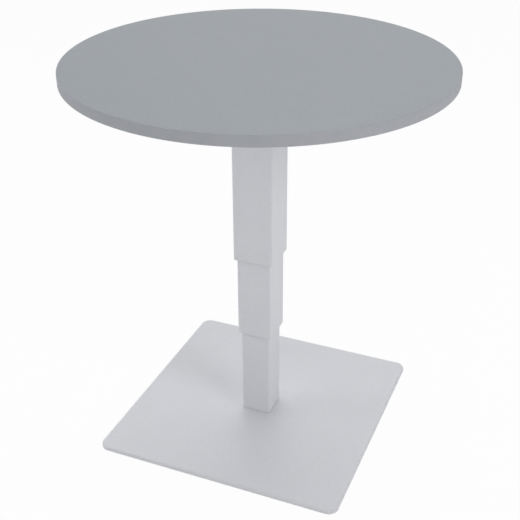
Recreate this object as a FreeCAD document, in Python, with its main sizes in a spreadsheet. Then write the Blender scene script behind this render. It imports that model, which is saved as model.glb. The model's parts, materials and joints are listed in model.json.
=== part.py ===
"""Height-adjustable pedestal table: a round top on a three-stage square column that an
electric spindle drive raises and lowers, standing on a square steel plate.

Frame: millimetres, +Z up, origin on the floor under the middle of the table. The column is
drawn part-way up. The thickest tube hangs from the tabletop, the thinnest one stands on the
base plate, and the middle one travels half as far as the top.
"""

import FreeCAD, Part
import math
import os
from types import SimpleNamespace

import Sketcher

Vector = FreeCAD.Vector
Rotation = FreeCAD.Rotation

os.makedirs("parts", exist_ok=True)
doc = FreeCAD.newDocument("pedestal_table")
sheet = doc.addObject("Spreadsheet::Sheet", "Sizes")
nodes = []


# ---------------------------------------------------------------- driving dimensions

DIMENSIONS = {
    # floor pads and base plate
    "pad_height": 2,
    "pad_diameter": 40,
    "pad_offset": 210,
    "plate_side": 500,
    "plate_thickness": 8,
    "plate_corner": 20,
    "plate_rounding": 2.5,
    # column tubes
    "tube_wall": 2,
    "tube_corner": 3,
    "inner_side": 60,
    "middle_side": 70,
    "outer_side": 80,
    "inner_length": 317,
    "middle_length": 317,
    "outer_length": 366,
    "middle_bottom": 202,
    "outer_bottom": 372,
    # gaps: a panel part in its opening, a glide on its tube, a screw in its hole, a shaft
    "panel_gap": 0.2,
    "glide_gap": 0.25,
    "screw_gap": 0.1,
    "running_gap": 0.06,
    # fixing of the inner tube on the plate
    "foot_height": 24,
    "foot_screw_offset": 17,
    "foot_screw_radius": 4,
    "foot_head_radius": 8,
    "foot_screw_length": 24,
    # glide pads near the tube tops, guide sleeves in the tube ends
    "glide_width": 40,
    "glide_height": 30,
    "glide_inset": 4,
    "peg_radius": 4,
    "peg_reach": 5,
    "sleeve_height": 30,
    "sleeve_inset": 2,
    # heads, nuts and bearing that carry the spindles
    "head_height": 27,
    "nut_flange_height": 3,
    "nut_flange_lip": 4,
    "upper_nut_radius": 13,
    "upper_nut_height": 15,
    "lower_nut_radius": 16,
    "lower_nut_height": 22,
    "plug_corner": 2,
    "head_lip": 3,
    "circlip_width": 1.4,
    "circlip_outside": 20,
    "circlip_bore": 16.5,
    "circlip_opening": 8,
    "head_bearing_bore": 10,
    "head_bearing_outside": 18.5,
    "head_bearing_width": 9,
    "ring_thickness": 2.9,
    "ring_gap": 0.3,
    "lock_ring_height": 2.5,
    # spindles, drawn at their crest radius
    "upper_radius": 7,
    "upper_reach": 272,
    "lower_radius": 11,
    "lower_bore": 7.5,
    "lower_reach": 242,
    "keyway_width": 4,
    "keyway_depth": 1.8,
    "key_gap": 0.1,
    "key_height": 8,
    # gearbox in the top of the outer tube
    "worm_drop": 26,
    "worm_offset": 25,
    "worm_radius": 4.85,
    "worm_length": 24,
    "worm_pitch": 3.14,
    "wheel_radius": 19.85,
    "wheel_thickness": 12,
    "wheel_teeth": 40,
    "tooth_space": 1.5,
    "tooth_depth": 1.5,
    "hub_radius": 8.5,
    "hub_length": 24,
    "gearbox_depth": 22,
    "cavity_gap": 1.2,
    "bearing_bore": 6,
    "bearing_outside": 14,
    "bearing_width": 8,
    "bushing_radius": 6,
    "bushing_length": 8,
    "boss_radius": 11,
    "boss_reach": 46,
    "slot_gap": 0.5,
    "gearbox_screw_offset": 32,
    "gearbox_screw_radius": 2,
    "gearbox_screw_length": 45,
    # motor
    "motor_radius": 20,
    "motor_length": 70,
    "motor_wall": 1.5,
    "motor_front": 2,
    "cap_length": 6,
    "shaft_radius": 3,
    "rotor_radius": 14.5,
    "rotor_length": 46,
    "commutator_radius": 6,
    "magnet_thickness": 2.9,
    "magnet_split": 12,
    "motor_screw_offset": 7.5,
    "motor_screw_radius": 1.5,
    # top plate and support arms
    "top_plate_side": 160,
    "top_plate_thickness": 5,
    "arm_width": 30,
    "arm_reach": 300,
    "arm_sheet": 2,
    "arm_depth_in": 18,
    "arm_depth_out": 8,
    "arm_screw_in": 170,
    "arm_screw_out": 280,
    # tabletop
    "top_diameter": 700,
    "top_thickness": 19,
    "band_thickness": 2,
    "band_rounding": 1,
    # screws into the board, and screws that hold the covers
    "wood_screw_radius": 2,
    "wood_screw_length": 16,
    "pan_head_radius": 4,
    "pan_head_height": 2.5,
    "cover_screw_radius": 1.5,
    "cover_screw_length": 12,
    "cover_head_radius": 2.8,
    "cover_head_height": 2,
    "post_radius": 3.5,
    # control box
    "box_centre": -195,
    "box_width": 70,
    "box_length": 160,
    "box_height": 34,
    "box_base": 3,
    "box_wall": 2.5,
    "box_corner": 5,
    "box_ear": 16,
    "box_ear_width": 24,
    "box_screw_across": 28,
    "box_screw_along": 73,
    "circuit_rise": 6,
    "circuit_thickness": 1.6,
    "circuit_width": 60,
    "circuit_length": 130,
    "rest_across": 20,
    "rest_along": 53,
    "stake_radius": 1.5,
    "inlet_level": 15,
    "inlet_width": 21,
    "inlet_height": 14,
    "inlet_depth": 17,
    "inlet_lip": 2.5,
    "recess_width": 17,
    "recess_height": 9.6,
    "recess_depth": 14,
    "pin_radius": 1.2,
    "pin_spacing": 8.6,
    # handset
    "handset_centre": -303,
    "handset_width": 58,
    "handset_length": 110,
    "handset_height": 21,
    "handset_wall": 2.5,
    "handset_corner": 6,
    "handset_ear": 14,
    "handset_ear_width": 16,
    "handset_screw_across": 21,
    "handset_screw_along": 48,
    "handset_board_inset": 12,
    "handset_board_length": 86,
    "rib_thickness": 1.5,
    "rib_length": 12,
    "handset_board_height": 13.5,
    "switch_side": 6,
    "switch_height": 3.5,
    "plunger_radius": 1.5,
    "plunger_height": 1,
    "button_spacing": 44,
    "button_radius": 6,
    "button_drop": 11,
    "button_proud": 2.5,
    "button_gap": 0.3,
    "button_flange": 7.5,
    "button_flange_depth": 1.5,
    "button_travel": 1.2,
    "button_rest_gap": 0.1,
    # leads, with their grommets and clips
    "lead_radius": 2.5,
    "lead_gap": 0.15,
    "lead_drop": 10,
    "motor_lead_rise": 8,
    "grommet_radius": 5,
    "grommet_lip": 6.5,
    "grommet_lip_depth": 1.5,
    "clip_width": 11,
    "clip_length": 8,
    "clip_depth": 14,
}


class Size:
    """A length that carries both its value and the formula that gives it in the sheet."""

    def __init__(self, value, formula):
        self.value = value
        self.formula = formula

    def __add__(self, other):
        other = as_size(other)
        return Size(self.value + other.value, f"({self.formula} + {other.formula})")

    def __sub__(self, other):
        other = as_size(other)
        return Size(self.value - other.value, f"({self.formula} - {other.formula})")

    def __mul__(self, factor):
        return Size(self.value * factor, f"({self.formula} * {factor})")

    def __truediv__(self, divisor):
        return Size(self.value / divisor, f"({self.formula} / {divisor})")

    def __neg__(self):
        return Size(-self.value, f"(0 - {self.formula})")

    def __radd__(self, other):
        return as_size(other) + self

    def __rsub__(self, other):
        return as_size(other) - self

    __rmul__ = __mul__


def as_size(number):
    """A plain number as a Size, and a Size as it is."""
    if isinstance(number, Size):
        return number
    return Size(number, f"({number})")


def fill_sheet():
    """Write the driving dimensions into the sheet and give each one as a Size."""
    sizes = SimpleNamespace()
    for row, (alias, value) in enumerate(DIMENSIONS.items(), start=1):
        sheet.set(f"A{row}", alias.replace("_", " "))
        sheet.set(f"B{row}", str(value))
        sheet.setAlias(f"B{row}", alias)
        setattr(sizes, alias, Size(value, f"Sizes.{alias}"))
    doc.recompute()
    return sizes


size = fill_sheet()


# ---------------------------------------------------------------- helpers: plain shapes

AXIS_TURN = {
    "x": Rotation(Vector(0, 1, 0), 90),
    "y": Rotation(Vector(1, 0, 0), -90),
    "z": Rotation(),
}
FOUR_CORNERS = [(1, 1), (-1, 1), (-1, -1), (1, -1)]


def bind(thing, prop, length):
    """Tie one property to its formula in the sheet."""
    thing.setExpression(prop, as_size(length).formula)


def bind_place(thing, x, y, z):
    """Tie the place of an object to three formulas."""
    bind(thing, "Placement.Base.x", x)
    bind(thing, "Placement.Base.y", y)
    bind(thing, "Placement.Base.z", z)


def span(width, centre=0):
    """The two ends of a width about its centre."""
    half = as_size(width) / 2
    return (centre - half, centre + half)


def ordered(a, b):
    """Two ends with the lower one first."""
    return tuple(sorted((as_size(a), as_size(b)), key=lambda end: end.value))


def block(x, y, z):
    """A box between three pairs of ends."""
    thing = doc.addObject("Part::Box", "block")
    bind(thing, "Length", x[1] - x[0])
    bind(thing, "Width", y[1] - y[0])
    bind(thing, "Height", z[1] - z[0])
    bind_place(thing, x[0], y[0], z[0])
    return thing


def place_along(thing, axis, start, across):
    """Stand a round shape on its start, along an axis, at the two other coordinates."""
    thing.Placement = FreeCAD.Placement(Vector(), AXIS_TURN[axis])
    place = list(across)
    place.insert("xyz".index(axis), start)
    bind_place(thing, *place)


def rod(axis, radius, ends, across=(0, 0)):
    """A cylinder along an axis between two ends."""
    thing = doc.addObject("Part::Cylinder", "rod")
    bind(thing, "Radius", radius)
    bind(thing, "Height", ends[1] - ends[0])
    place_along(thing, axis, ends[0], across)
    return thing


def taper(axis, radii, ends, across=(0, 0)):
    """A cone along an axis between two ends."""
    thing = doc.addObject("Part::Cone", "taper")
    bind(thing, "Radius1", radii[0])
    bind(thing, "Radius2", radii[1])
    bind(thing, "Height", ends[1] - ends[0])
    place_along(thing, axis, ends[0], across)
    return thing


def fuse(*shapes):
    """One solid made of several that touch."""
    thing = doc.addObject("Part::MultiFuse", "joined")
    thing.Shapes = list(shapes)
    thing.Refine = True
    return thing


def carve(base, *cutters):
    """A shape with others taken out of it."""
    thing = doc.addObject("Part::Cut", "carved")
    thing.Base = base
    thing.Tool = cutters[0] if len(cutters) == 1 else fuse(*cutters)
    return thing


def collect(shapes):
    """Several separate solids that share one node."""
    thing = doc.addObject("Part::Compound", "collected")
    thing.Links = list(shapes)
    return thing


def sleeve(axis, outside, bore, ends, across=(0, 0)):
    """A round ring or bushing."""
    return carve(rod(axis, outside, ends, across), rod(axis, bore, ends, across))


def at_corners(offset_x, offset_y, centre=(0, 0)):
    """Four places round a centre."""
    return [
        (centre[0] + side_x * offset_x, centre[1] + side_y * offset_y)
        for side_x, side_y in FOUR_CORNERS
    ]


def node(label, thing):
    """Name a finished sub-part. Its label is also its file's name."""
    thing.Label = label
    nodes.append(thing)
    return thing


# ---------------------------------------------------------------- helpers: bodies

def new_body(name):
    """An empty body."""
    return doc.addObject("PartDesign::Body", name)


def new_sketch(body, plane="XY_Plane", offset=0):
    """A sketch on one of the body's own planes, moved along the plane's normal."""
    sketch = body.newObject("Sketcher::SketchObject", "outline")
    origin_plane = [f for f in body.Origin.OriginFeatures if f.Role == plane][0]
    sketch.AttachmentSupport = (origin_plane, [""])
    sketch.MapMode = "FlatFace"
    bind(sketch, "AttachmentOffset.Base.z", offset)
    return sketch


def pin_point(sketch, line, point, place):
    """Fix a line's end or a circle's centre at two formulas from the sketch's origin."""
    for kind, coordinate in zip(("DistanceX", "DistanceY"), place):
        coordinate = as_size(coordinate)
        if coordinate.value == 0:
            axis = -2 if kind == "DistanceX" else -1
            sketch.addConstraint(Sketcher.Constraint("PointOnObject", line, point, axis))
            continue
        number = sketch.addConstraint(
            Sketcher.Constraint(kind, -1, 1, line, point, coordinate.value)
        )
        sketch.setExpression(f"Constraints[{number}]", coordinate.formula)


def draw_outline(sketch, corners):
    """A closed outline of straight lines through the given corners."""
    ends = [Vector(as_size(u).value, as_size(v).value, 0) for u, v in corners]
    first = sketch.GeometryCount
    count = len(corners)
    for i in range(count):
        sketch.addGeometry(Part.LineSegment(ends[i], ends[(i + 1) % count]), False)
    for i in range(count):
        line, following = first + i, first + (i + 1) % count
        sketch.addConstraint(Sketcher.Constraint("Coincident", line, 2, following, 1))
        pin_point(sketch, line, 1, corners[i])


def draw_rectangle(sketch, across, along):
    """A rectangle between two pairs of ends."""
    low, high = across
    near, far = along
    draw_outline(sketch, [(low, near), (high, near), (high, far), (low, far)])


def draw_circle(sketch, radius, centre=(0, 0)):
    """A circle about a centre."""
    middle = Vector(as_size(centre[0]).value, as_size(centre[1]).value, 0)
    circle = Part.Circle(middle, Vector(0, 0, 1), as_size(radius).value)
    line = sketch.addGeometry(circle, False)
    pin_point(sketch, line, 3, centre)
    number = sketch.addConstraint(Sketcher.Constraint("Radius", line, as_size(radius).value))
    sketch.setExpression(f"Constraints[{number}]", as_size(radius).formula)


def pad(body, sketch, length, both_ways=False):
    """Raise a sketch into a solid."""
    feature = body.newObject("PartDesign::Pad", "raised")
    feature.Profile = sketch
    bind(feature, "Length", length)
    feature.SideType = "Symmetric" if both_ways else "One side"
    doc.recompute()
    return feature


def pocket(body, sketch, length, backwards=False, both_ways=False):
    """Cut a sketch out of a body, and make sure that the cut took something away."""
    before = body.Shape.Volume
    feature = body.newObject("PartDesign::Pocket", "cut_out")
    feature.Profile = sketch
    bind(feature, "Length", length)
    feature.Reversed = backwards
    feature.SideType = "Symmetric" if both_ways else "One side"
    doc.recompute()
    if not body.Shape.Volume < before:
        raise RuntimeError(f"a pocket in {body.Name} cuts nothing")
    return feature


def turn(body, sketch):
    """Turn a sketch on the XZ plane about the Z axis."""
    feature = body.newObject("PartDesign::Revolution", "turned")
    feature.Profile = sketch
    feature.ReferenceAxis = (sketch, ["V_Axis"])
    doc.recompute()
    return feature


def repeat_round(body, feature, count):
    """Repeat a feature round the Z axis."""
    z_axis = [f for f in body.Origin.OriginFeatures if f.Role == "Z_Axis"][0]
    pattern = body.newObject("PartDesign::PolarPattern", "repeated")
    pattern.Originals = [feature]
    pattern.Axis = (z_axis, [""])
    pattern.Angle = 360
    bind(pattern, "Occurrences", count)
    body.Tip = pattern
    doc.recompute()
    return pattern


def upright_edges(shape, half_x, half_y):
    """Names of the upright edges at the corners of a rectangle about the middle."""
    names = []
    for i, edge in enumerate(shape.Edges, start=1):
        a, b = edge.Vertexes[0].Point, edge.Vertexes[-1].Point
        upright = math.hypot(a.x - b.x, a.y - b.y) < 1e-6
        at_corner = math.hypot(abs(a.x) - half_x.value, abs(a.y) - half_y.value) < 1e-3
        if upright and at_corner:
            names.append(f"Edge{i}")
    return names


def level_edges(shape, level, reach=None):
    """Names of the edges that lie wholly at one height, within a reach of the middle."""
    names = []
    for i, edge in enumerate(shape.Edges, start=1):
        box = edge.BoundBox
        level_edge = abs(box.ZMin - level.value) < 1e-4 and abs(box.ZMax - level.value) < 1e-4
        if level_edge and (reach is None or box.XMax < reach.value > box.YMax):
            names.append(f"Edge{i}")
    return names


def round_off(body, feature, edge_names, radius):
    """Round the named edges of a feature."""
    rounding = body.newObject("PartDesign::Fillet", "rounded")
    rounding.Base = (feature, edge_names)
    bind(rounding, "Radius", radius)
    doc.recompute()
    return rounding


def bevel(body, feature, edge_names, width):
    """Bevel the named edges of a feature at 45 degrees."""
    chamfer = body.newObject("PartDesign::Chamfer", "bevelled")
    chamfer.Base = (feature, edge_names)
    bind(chamfer, "Size", width)
    doc.recompute()
    return chamfer


def rounded_slab(body, width, length, height, corner):
    """A slab about the middle of the body's XY plane, its upright corners rounded."""
    sketch = new_sketch(body)
    draw_rectangle(sketch, span(width), span(length))
    slab = pad(body, sketch, height)
    corners = upright_edges(slab.Shape, as_size(width) / 2, as_size(length) / 2)
    return round_off(body, slab, corners, corner)


# ---------------------------------------------------------------- levels and widths

plate_bottom = size.pad_height
plate_top = plate_bottom + size.plate_thickness
inner_top = plate_top + size.inner_length
middle_top = size.middle_bottom + size.middle_length
outer_top = size.outer_bottom + size.outer_length
board_bottom = outer_top + size.top_plate_thickness
worm_level = outer_top - size.worm_drop

inner_bore = size.inner_side - 2 * size.tube_wall
middle_bore = size.middle_side - 2 * size.tube_wall
outer_bore = size.outer_side - 2 * size.tube_wall


# ---------------------------------------------------------------- base

def make_floor_pads():
    """Four felt pads under the corners of the plate."""
    ends = (as_size(0), size.pad_height)
    places = at_corners(size.pad_offset, size.pad_offset)
    pads = [rod("z", size.pad_diameter / 2, ends, place) for place in places]
    node("floor_pads", collect(pads))


def make_base_plate():
    """Square steel plate with rounded corners and a softened upper edge."""
    body = new_body("base_plate_body")
    side = size.plate_side
    slab = rounded_slab(body, side, side, size.plate_thickness, size.plate_corner)
    rim = level_edges(slab.Shape, size.plate_thickness)
    round_off(body, slab, rim, size.plate_rounding)
    holes = new_sketch(body)
    for place in at_corners(size.foot_screw_offset, size.foot_screw_offset):
        draw_circle(holes, size.foot_screw_radius + size.screw_gap, place)
    drilled = pocket(body, holes, size.plate_thickness, backwards=True)
    mouths = level_edges(drilled.Shape, as_size(0), size.plate_side / 4)
    bevel(body, drilled, mouths, size.foot_head_radius - size.foot_screw_radius)
    bind(body, "Placement.Base.z", plate_bottom)
    node("base_plate", body)


def plug(side, ends):
    """A square block that fills a tube between two levels, its corners rounded."""
    body = new_body("plug")
    rounded_slab(body, side, side, ends[1] - ends[0], size.plug_corner)
    bind(body, "Placement.Base.z", ends[0])
    return body


def make_foot_block():
    """Steel block in the foot of the inner tube, drilled for the screws from below."""
    height = (plate_top, plate_top + size.foot_height)
    radius = size.foot_screw_radius + size.screw_gap
    places = at_corners(size.foot_screw_offset, size.foot_screw_offset)
    holes = [rod("z", radius, height, place) for place in places]
    node("foot_block", carve(plug(inner_bore, height), *holes))


def make_foot_screws():
    """Four countersunk screws that hold the column on the plate."""
    head_depth = size.foot_head_radius - size.foot_screw_radius
    head = (plate_bottom + size.screw_gap, plate_bottom + size.screw_gap + head_depth)
    shank = (head[1], plate_bottom + size.foot_screw_length)
    socket = (head[0], head[0] + head_depth / 2)
    screws = []
    for place in at_corners(size.foot_screw_offset, size.foot_screw_offset):
        solid = fuse(
            taper("z", (size.foot_head_radius, size.foot_screw_radius), head, place),
            rod("z", size.foot_screw_radius, shank, place),
        )
        screws.append(carve(solid, rod("z", size.foot_screw_radius * 0.6, socket, place)))
    node("foot_screws", collect(screws))


# ---------------------------------------------------------------- column tubes and guides

def make_tube(side, length, bottom):
    """A square steel tube, its corners rounded outside and inside."""
    body = new_body("tube")
    bore = side - 2 * size.tube_wall
    sketch = new_sketch(body)
    draw_rectangle(sketch, span(side), span(side))
    draw_rectangle(sketch, span(bore), span(bore))
    wall = pad(body, sketch, length)
    outside = upright_edges(wall.Shape, side / 2, side / 2)
    wall = round_off(body, wall, outside, size.tube_corner)
    inside = upright_edges(wall.Shape, bore / 2, bore / 2)
    round_off(body, wall, inside, size.tube_corner - size.tube_wall)
    bind(body, "Placement.Base.z", bottom)
    return body


def drill_peg_holes(body, side, length):
    """Holes in all four walls, near the tube's top, for the pegs of the glide pads."""
    level = glide_level(length)
    for plane in ("XZ_Plane", "YZ_Plane"):
        sketch = new_sketch(body, plane)
        draw_circle(sketch, size.peg_radius, (0, level))
        pocket(body, sketch, side + size.tube_wall, both_ways=True)


def make_inner_tube():
    """The thinnest tube, which stands on the base plate."""
    body = make_tube(size.inner_side, size.inner_length, plate_top)
    drill_peg_holes(body, size.inner_side, size.inner_length)
    node("inner_tube", body)


def make_middle_tube():
    """The middle tube, which slides on the inner one."""
    body = make_tube(size.middle_side, size.middle_length, size.middle_bottom)
    drill_peg_holes(body, size.middle_side, size.middle_length)
    node("middle_tube", body)


def make_outer_tube():
    """The thickest tube, which carries the top. A slot at its upper end lets the motor in."""
    body = make_tube(size.outer_side, size.outer_length, size.outer_bottom)
    slot = new_sketch(body, "YZ_Plane")
    floor = size.outer_length - size.worm_drop - size.boss_radius - size.slot_gap
    width = 2 * size.boss_radius + 2 * size.slot_gap
    draw_rectangle(slot, span(width, size.worm_offset), (floor, size.outer_length))
    pocket(body, slot, size.outer_side / 2)
    node("outer_tube", body)


def glide_level(tube_top):
    """Height of the middle of the glide pads on a tube."""
    return tube_top - size.glide_inset - size.glide_height / 2


def peg_sockets(side, tube_top):
    """Cutters for the pegs of the glide pads in the head that fills the tube's top."""
    sockets = []
    for axis in ("x", "y"):
        for way in (1, -1):
            outer_end = way * side / 2
            inner_end = way * (side / 2 - size.tube_wall - size.peg_reach - size.screw_gap)
            ends = ordered(inner_end, outer_end)
            sockets.append(rod(axis, size.peg_radius, ends, (0, glide_level(tube_top))))
    return sockets


def make_glides(label, side, next_bore, tube_top):
    """Four plastic pads on a tube's faces. Their pegs reach through the wall into the head."""
    level = glide_level(tube_top)
    width = span(size.glide_width)
    height = span(size.glide_height, level)
    face = side / 2
    pads = []
    for axis in ("x", "y"):
        for way in (1, -1):
            depth = ordered(way * face, way * (next_bore / 2 - size.glide_gap))
            peg_ends = ordered(way * (face - size.tube_wall - size.peg_reach), way * face)
            plate = block(depth, width, height) if axis == "x" else block(width, depth, height)
            peg = rod(axis, size.peg_radius - size.screw_gap, peg_ends, (0, level))
            pads.append(fuse(plate, peg))
    node(label, collect(pads))


def make_guide_sleeve(label, tube_bore, inside_side, bottom):
    """Square plastic sleeve in the lower end of a tube, round the next tube."""
    body = new_body(label + "_body")
    inside = inside_side + 2 * size.glide_gap
    sketch = new_sketch(body)
    draw_rectangle(sketch, span(tube_bore), span(tube_bore))
    draw_rectangle(sketch, span(inside), span(inside))
    ring = pad(body, sketch, size.sleeve_height)
    edges = upright_edges(ring.Shape, tube_bore / 2, tube_bore / 2)
    round_off(body, ring, edges, size.plug_corner)
    bind(body, "Placement.Base.z", bottom + size.sleeve_inset)
    node(label, body)


# ---------------------------------------------------------------- heads, nuts and spindles

def ball_bearing(bore, outside, ends, across=(0, 0)):
    """The outer ring with its seals, and the inner ring, of a ball bearing."""
    parting = bore + size.ring_thickness
    outer_ring = sleeve("z", outside, parting + size.ring_gap, ends, across)
    inner_ring = sleeve("z", parting, bore, ends, across)
    return outer_ring, inner_ring


def make_inner_head():
    """Plug in the top of the inner tube, and the flanged nut of the lower spindle in it."""
    flange_bottom = inner_top - size.nut_flange_height
    nut_bottom = inner_top - size.nut_flange_height - size.lower_nut_height
    flange_radius = size.lower_nut_radius + size.nut_flange_lip
    head_bottom = inner_top - size.head_height
    head = carve(
        plug(inner_bore, (head_bottom, inner_top)),
        rod("z", size.lower_nut_radius + size.screw_gap, (head_bottom, inner_top)),
        rod("z", flange_radius + size.screw_gap, (flange_bottom, inner_top)),
        *peg_sockets(size.inner_side, inner_top),
    )
    node("inner_head", head)
    nut = fuse(
        rod("z", size.lower_nut_radius, (nut_bottom, flange_bottom)),
        rod("z", flange_radius, (flange_bottom, inner_top)),
    )
    bore = rod("z", size.lower_radius + size.running_gap, (nut_bottom, inner_top))
    node("lower_nut", carve(nut, bore))


head_bottom = middle_top - size.head_height
bearing_top = head_bottom + size.head_bearing_width


def make_middle_head():
    """Plug in the top of the middle tube: it holds the upper nut and the lower bearing."""
    lip_bottom = head_bottom - size.head_lip
    groove_bottom = head_bottom - size.circlip_width - 2 * size.screw_gap
    groove_radius = size.circlip_outside + size.screw_gap
    head = carve(
        plug(middle_bore, (lip_bottom, middle_top)),
        rod("z", size.head_bearing_outside, (lip_bottom, bearing_top)),
        rod("z", groove_radius, (groove_bottom, head_bottom)),
        rod("z", size.upper_nut_radius + size.screw_gap, (bearing_top, middle_top)),
        *peg_sockets(size.middle_side, middle_top),
    )
    node("middle_head", head)
    flange = (middle_top, middle_top + size.nut_flange_height)
    nut_ends = (middle_top - size.upper_nut_height, flange[1])
    nut = fuse(
        rod("z", size.upper_nut_radius, (nut_ends[0], middle_top)),
        rod("z", size.upper_nut_radius + size.nut_flange_lip, flange),
    )
    bore = rod("z", size.upper_radius + size.running_gap, nut_ends)
    node("upper_nut", carve(nut, bore))
    outer_ring, inner_ring = ball_bearing(
        size.head_bearing_bore, size.head_bearing_outside, (head_bottom, bearing_top)
    )
    node("head_bearing_outer", outer_ring)
    node("head_bearing_inner", inner_ring)
    lock_ring_ends = (bearing_top, bearing_top + size.lock_ring_height)
    parting = size.head_bearing_bore + size.ring_thickness
    lock_ring = sleeve("z", parting - size.ring_gap, size.head_bearing_bore, lock_ring_ends)
    node("lock_ring", lock_ring)


def make_bearing_circlip():
    """Open spring ring under the bearing, in a groove of the middle head."""
    ends = (head_bottom - size.circlip_width - size.screw_gap, head_bottom - size.screw_gap)
    ring = sleeve("z", size.circlip_outside, size.circlip_bore, ends)
    opening = block((as_size(0), size.circlip_outside + 1), span(size.circlip_opening), ends)
    node("bearing_circlip", carve(ring, opening))


def make_upper_spindle():
    """Spindle with a keyway, driven by the worm wheel and running in the upper nut."""
    body = new_body("upper_spindle_body")
    shoulder = -(size.hub_length / 2 + size.bearing_width)
    journal_top = -shoulder - size.running_gap
    sketch = new_sketch(body, "XZ_Plane")
    draw_outline(sketch, [
        (0, -size.upper_reach),
        (size.upper_radius, -size.upper_reach),
        (size.upper_radius, shoulder),
        (size.bearing_bore, shoulder),
        (size.bearing_bore, journal_top),
        (0, journal_top),
    ])
    turn(body, sketch)
    keyway = new_sketch(body, offset=-size.upper_reach)
    key_floor = size.upper_radius - size.keyway_depth
    draw_rectangle(keyway, (key_floor, size.upper_radius + 1), span(size.keyway_width))
    keyway_length = size.upper_reach - size.gearbox_depth - 2
    pocket(body, keyway, keyway_length, backwards=True)
    bind(body, "Placement.Base.z", worm_level)
    node("upper_spindle", body)


def make_lower_spindle():
    """Hollow spindle that hangs from the middle head and runs in the lower nut.

    The upper spindle slides inside it and turns it through a key.
    """
    body = new_body("lower_spindle_body")
    journal_top = size.head_bearing_width + size.lock_ring_height
    sketch = new_sketch(body, "XZ_Plane")
    draw_outline(sketch, [
        (size.lower_bore, -size.lower_reach),
        (size.lower_radius, -size.lower_reach),
        (size.lower_radius, 0),
        (size.head_bearing_bore, 0),
        (size.head_bearing_bore, journal_top),
        (size.lower_bore, journal_top),
    ])
    turn(body, sketch)
    slot = new_sketch(body)
    slot_span = (size.upper_radius, size.head_bearing_bore + 1)
    draw_rectangle(slot, slot_span, span(size.keyway_width))
    pocket(body, slot, size.key_height, backwards=True)
    bind(body, "Placement.Base.z", head_bottom)
    node("lower_spindle", body)

    key_floor = size.upper_radius - size.keyway_depth + size.key_gap
    key = block(
        (key_floor, size.head_bearing_bore - 2 * size.key_gap),
        span(size.keyway_width - 2 * size.key_gap),
        (head_bottom + size.key_gap, head_bottom + size.key_height - size.key_gap),
    )
    node("driver_key", key)


# ---------------------------------------------------------------- gearbox

def gearbox_blank():
    """The gearbox housing in one piece: a block in the tube with a boss for the motor."""
    across = (size.worm_offset, worm_level)
    cavity = size.wheel_radius + size.cavity_gap
    seat = size.hub_length / 2 + size.bearing_width
    wheel_half = size.wheel_thickness / 2 + size.cavity_gap
    bushing_end = size.worm_length / 2 + size.bushing_length
    solid = fuse(
        plug(outer_bore, (worm_level - size.gearbox_depth, outer_top)),
        rod("x", size.boss_radius, (-size.boss_reach, 1 - outer_bore / 2), across),
    )
    ring_parting = size.bearing_bore + size.ring_thickness + size.ring_gap / 2
    screw_holes = [
        rod("z", size.gearbox_screw_radius + size.screw_gap,
            (board_bottom - size.gearbox_screw_length - 1, outer_top), place)
        for place in at_corners(size.gearbox_screw_offset, size.gearbox_screw_offset)
    ]
    motor_screw_holes = [
        rod("x", size.motor_screw_radius, (-size.boss_reach, -size.outer_side / 2),
            (size.worm_offset, worm_level + way * size.motor_screw_offset))
        for way in (1, -1)
    ]
    return carve(
        solid,
        rod("z", cavity, (worm_level - wheel_half, worm_level + wheel_half)),
        rod("z", size.bearing_outside, (worm_level - seat, worm_level + seat)),
        rod("z", ring_parting, (worm_level - size.gearbox_depth, worm_level + seat + 2)),
        rod("x", size.bushing_radius, (-bushing_end, bushing_end), across),
        rod("x", size.shaft_radius + size.ring_gap, (-size.boss_reach, as_size(0)), across),
        *screw_holes,
        *motor_screw_holes,
    )


def make_gearbox_housing():
    """The housing parted at the level of the worm into a lower and an upper half."""
    blank = gearbox_blank()
    reach = span(2 * size.boss_reach)
    for label, ends in (
        ("gearbox_lower", (worm_level - size.gearbox_depth, worm_level)),
        ("gearbox_upper", (worm_level, outer_top)),
    ):
        half = doc.addObject("Part::Common", "half")
        half.Base = blank
        half.Tool = block(reach, reach, ends)
        node(label, half)


def make_worm_wheel():
    """Toothed wheel with a long hub, fixed on the upper spindle."""
    body = new_body("worm_wheel_body")
    half = size.wheel_thickness / 2
    sketch = new_sketch(body, "XZ_Plane")
    draw_outline(sketch, [
        (size.bearing_bore, -size.hub_length / 2),
        (size.hub_radius, -size.hub_length / 2),
        (size.hub_radius, -half),
        (size.wheel_radius, -half),
        (size.wheel_radius, half),
        (size.hub_radius, half),
        (size.hub_radius, size.hub_length / 2),
        (size.bearing_bore, size.hub_length / 2),
    ])
    turn(body, sketch)
    tooth_space = new_sketch(body, offset=-half)
    depth = (size.wheel_radius - size.tooth_depth, size.wheel_radius + 1)
    draw_rectangle(tooth_space, depth, span(size.tooth_space))
    cut = pocket(body, tooth_space, size.wheel_thickness, backwards=True)
    repeat_round(body, cut, size.wheel_teeth)
    bind(body, "Placement.Base.z", worm_level)
    node("worm_wheel", body)


def make_wheel_bearings():
    """The two bearings of the worm wheel, above and below it."""
    near = size.hub_length / 2
    far = near + size.bearing_width
    below = ball_bearing(
        size.bearing_bore, size.bearing_outside, (worm_level - far, worm_level - near)
    )
    above = ball_bearing(
        size.bearing_bore, size.bearing_outside, (worm_level + near, worm_level + far)
    )
    node("wheel_bearings_outer", collect([below[0], above[0]]))
    node("wheel_bearings_inner", collect([below[1], above[1]]))


def make_worm():
    """The worm, grooved round its length, fixed on the motor's shaft."""
    across = (size.worm_offset, worm_level)
    ends = span(size.worm_length)
    groove_width = size.worm_pitch / 2
    grooves = []
    for i in range(-3, 4):
        middle = i * size.worm_pitch
        ring = sleeve("x", size.worm_radius + 1, size.worm_radius - 1, span(groove_width, middle),
                      across)
        grooves.append(ring)
    thread = carve(rod("x", size.worm_radius, ends, across), *grooves)
    node("worm", carve(thread, rod("x", size.shaft_radius, ends, across)))


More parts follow.
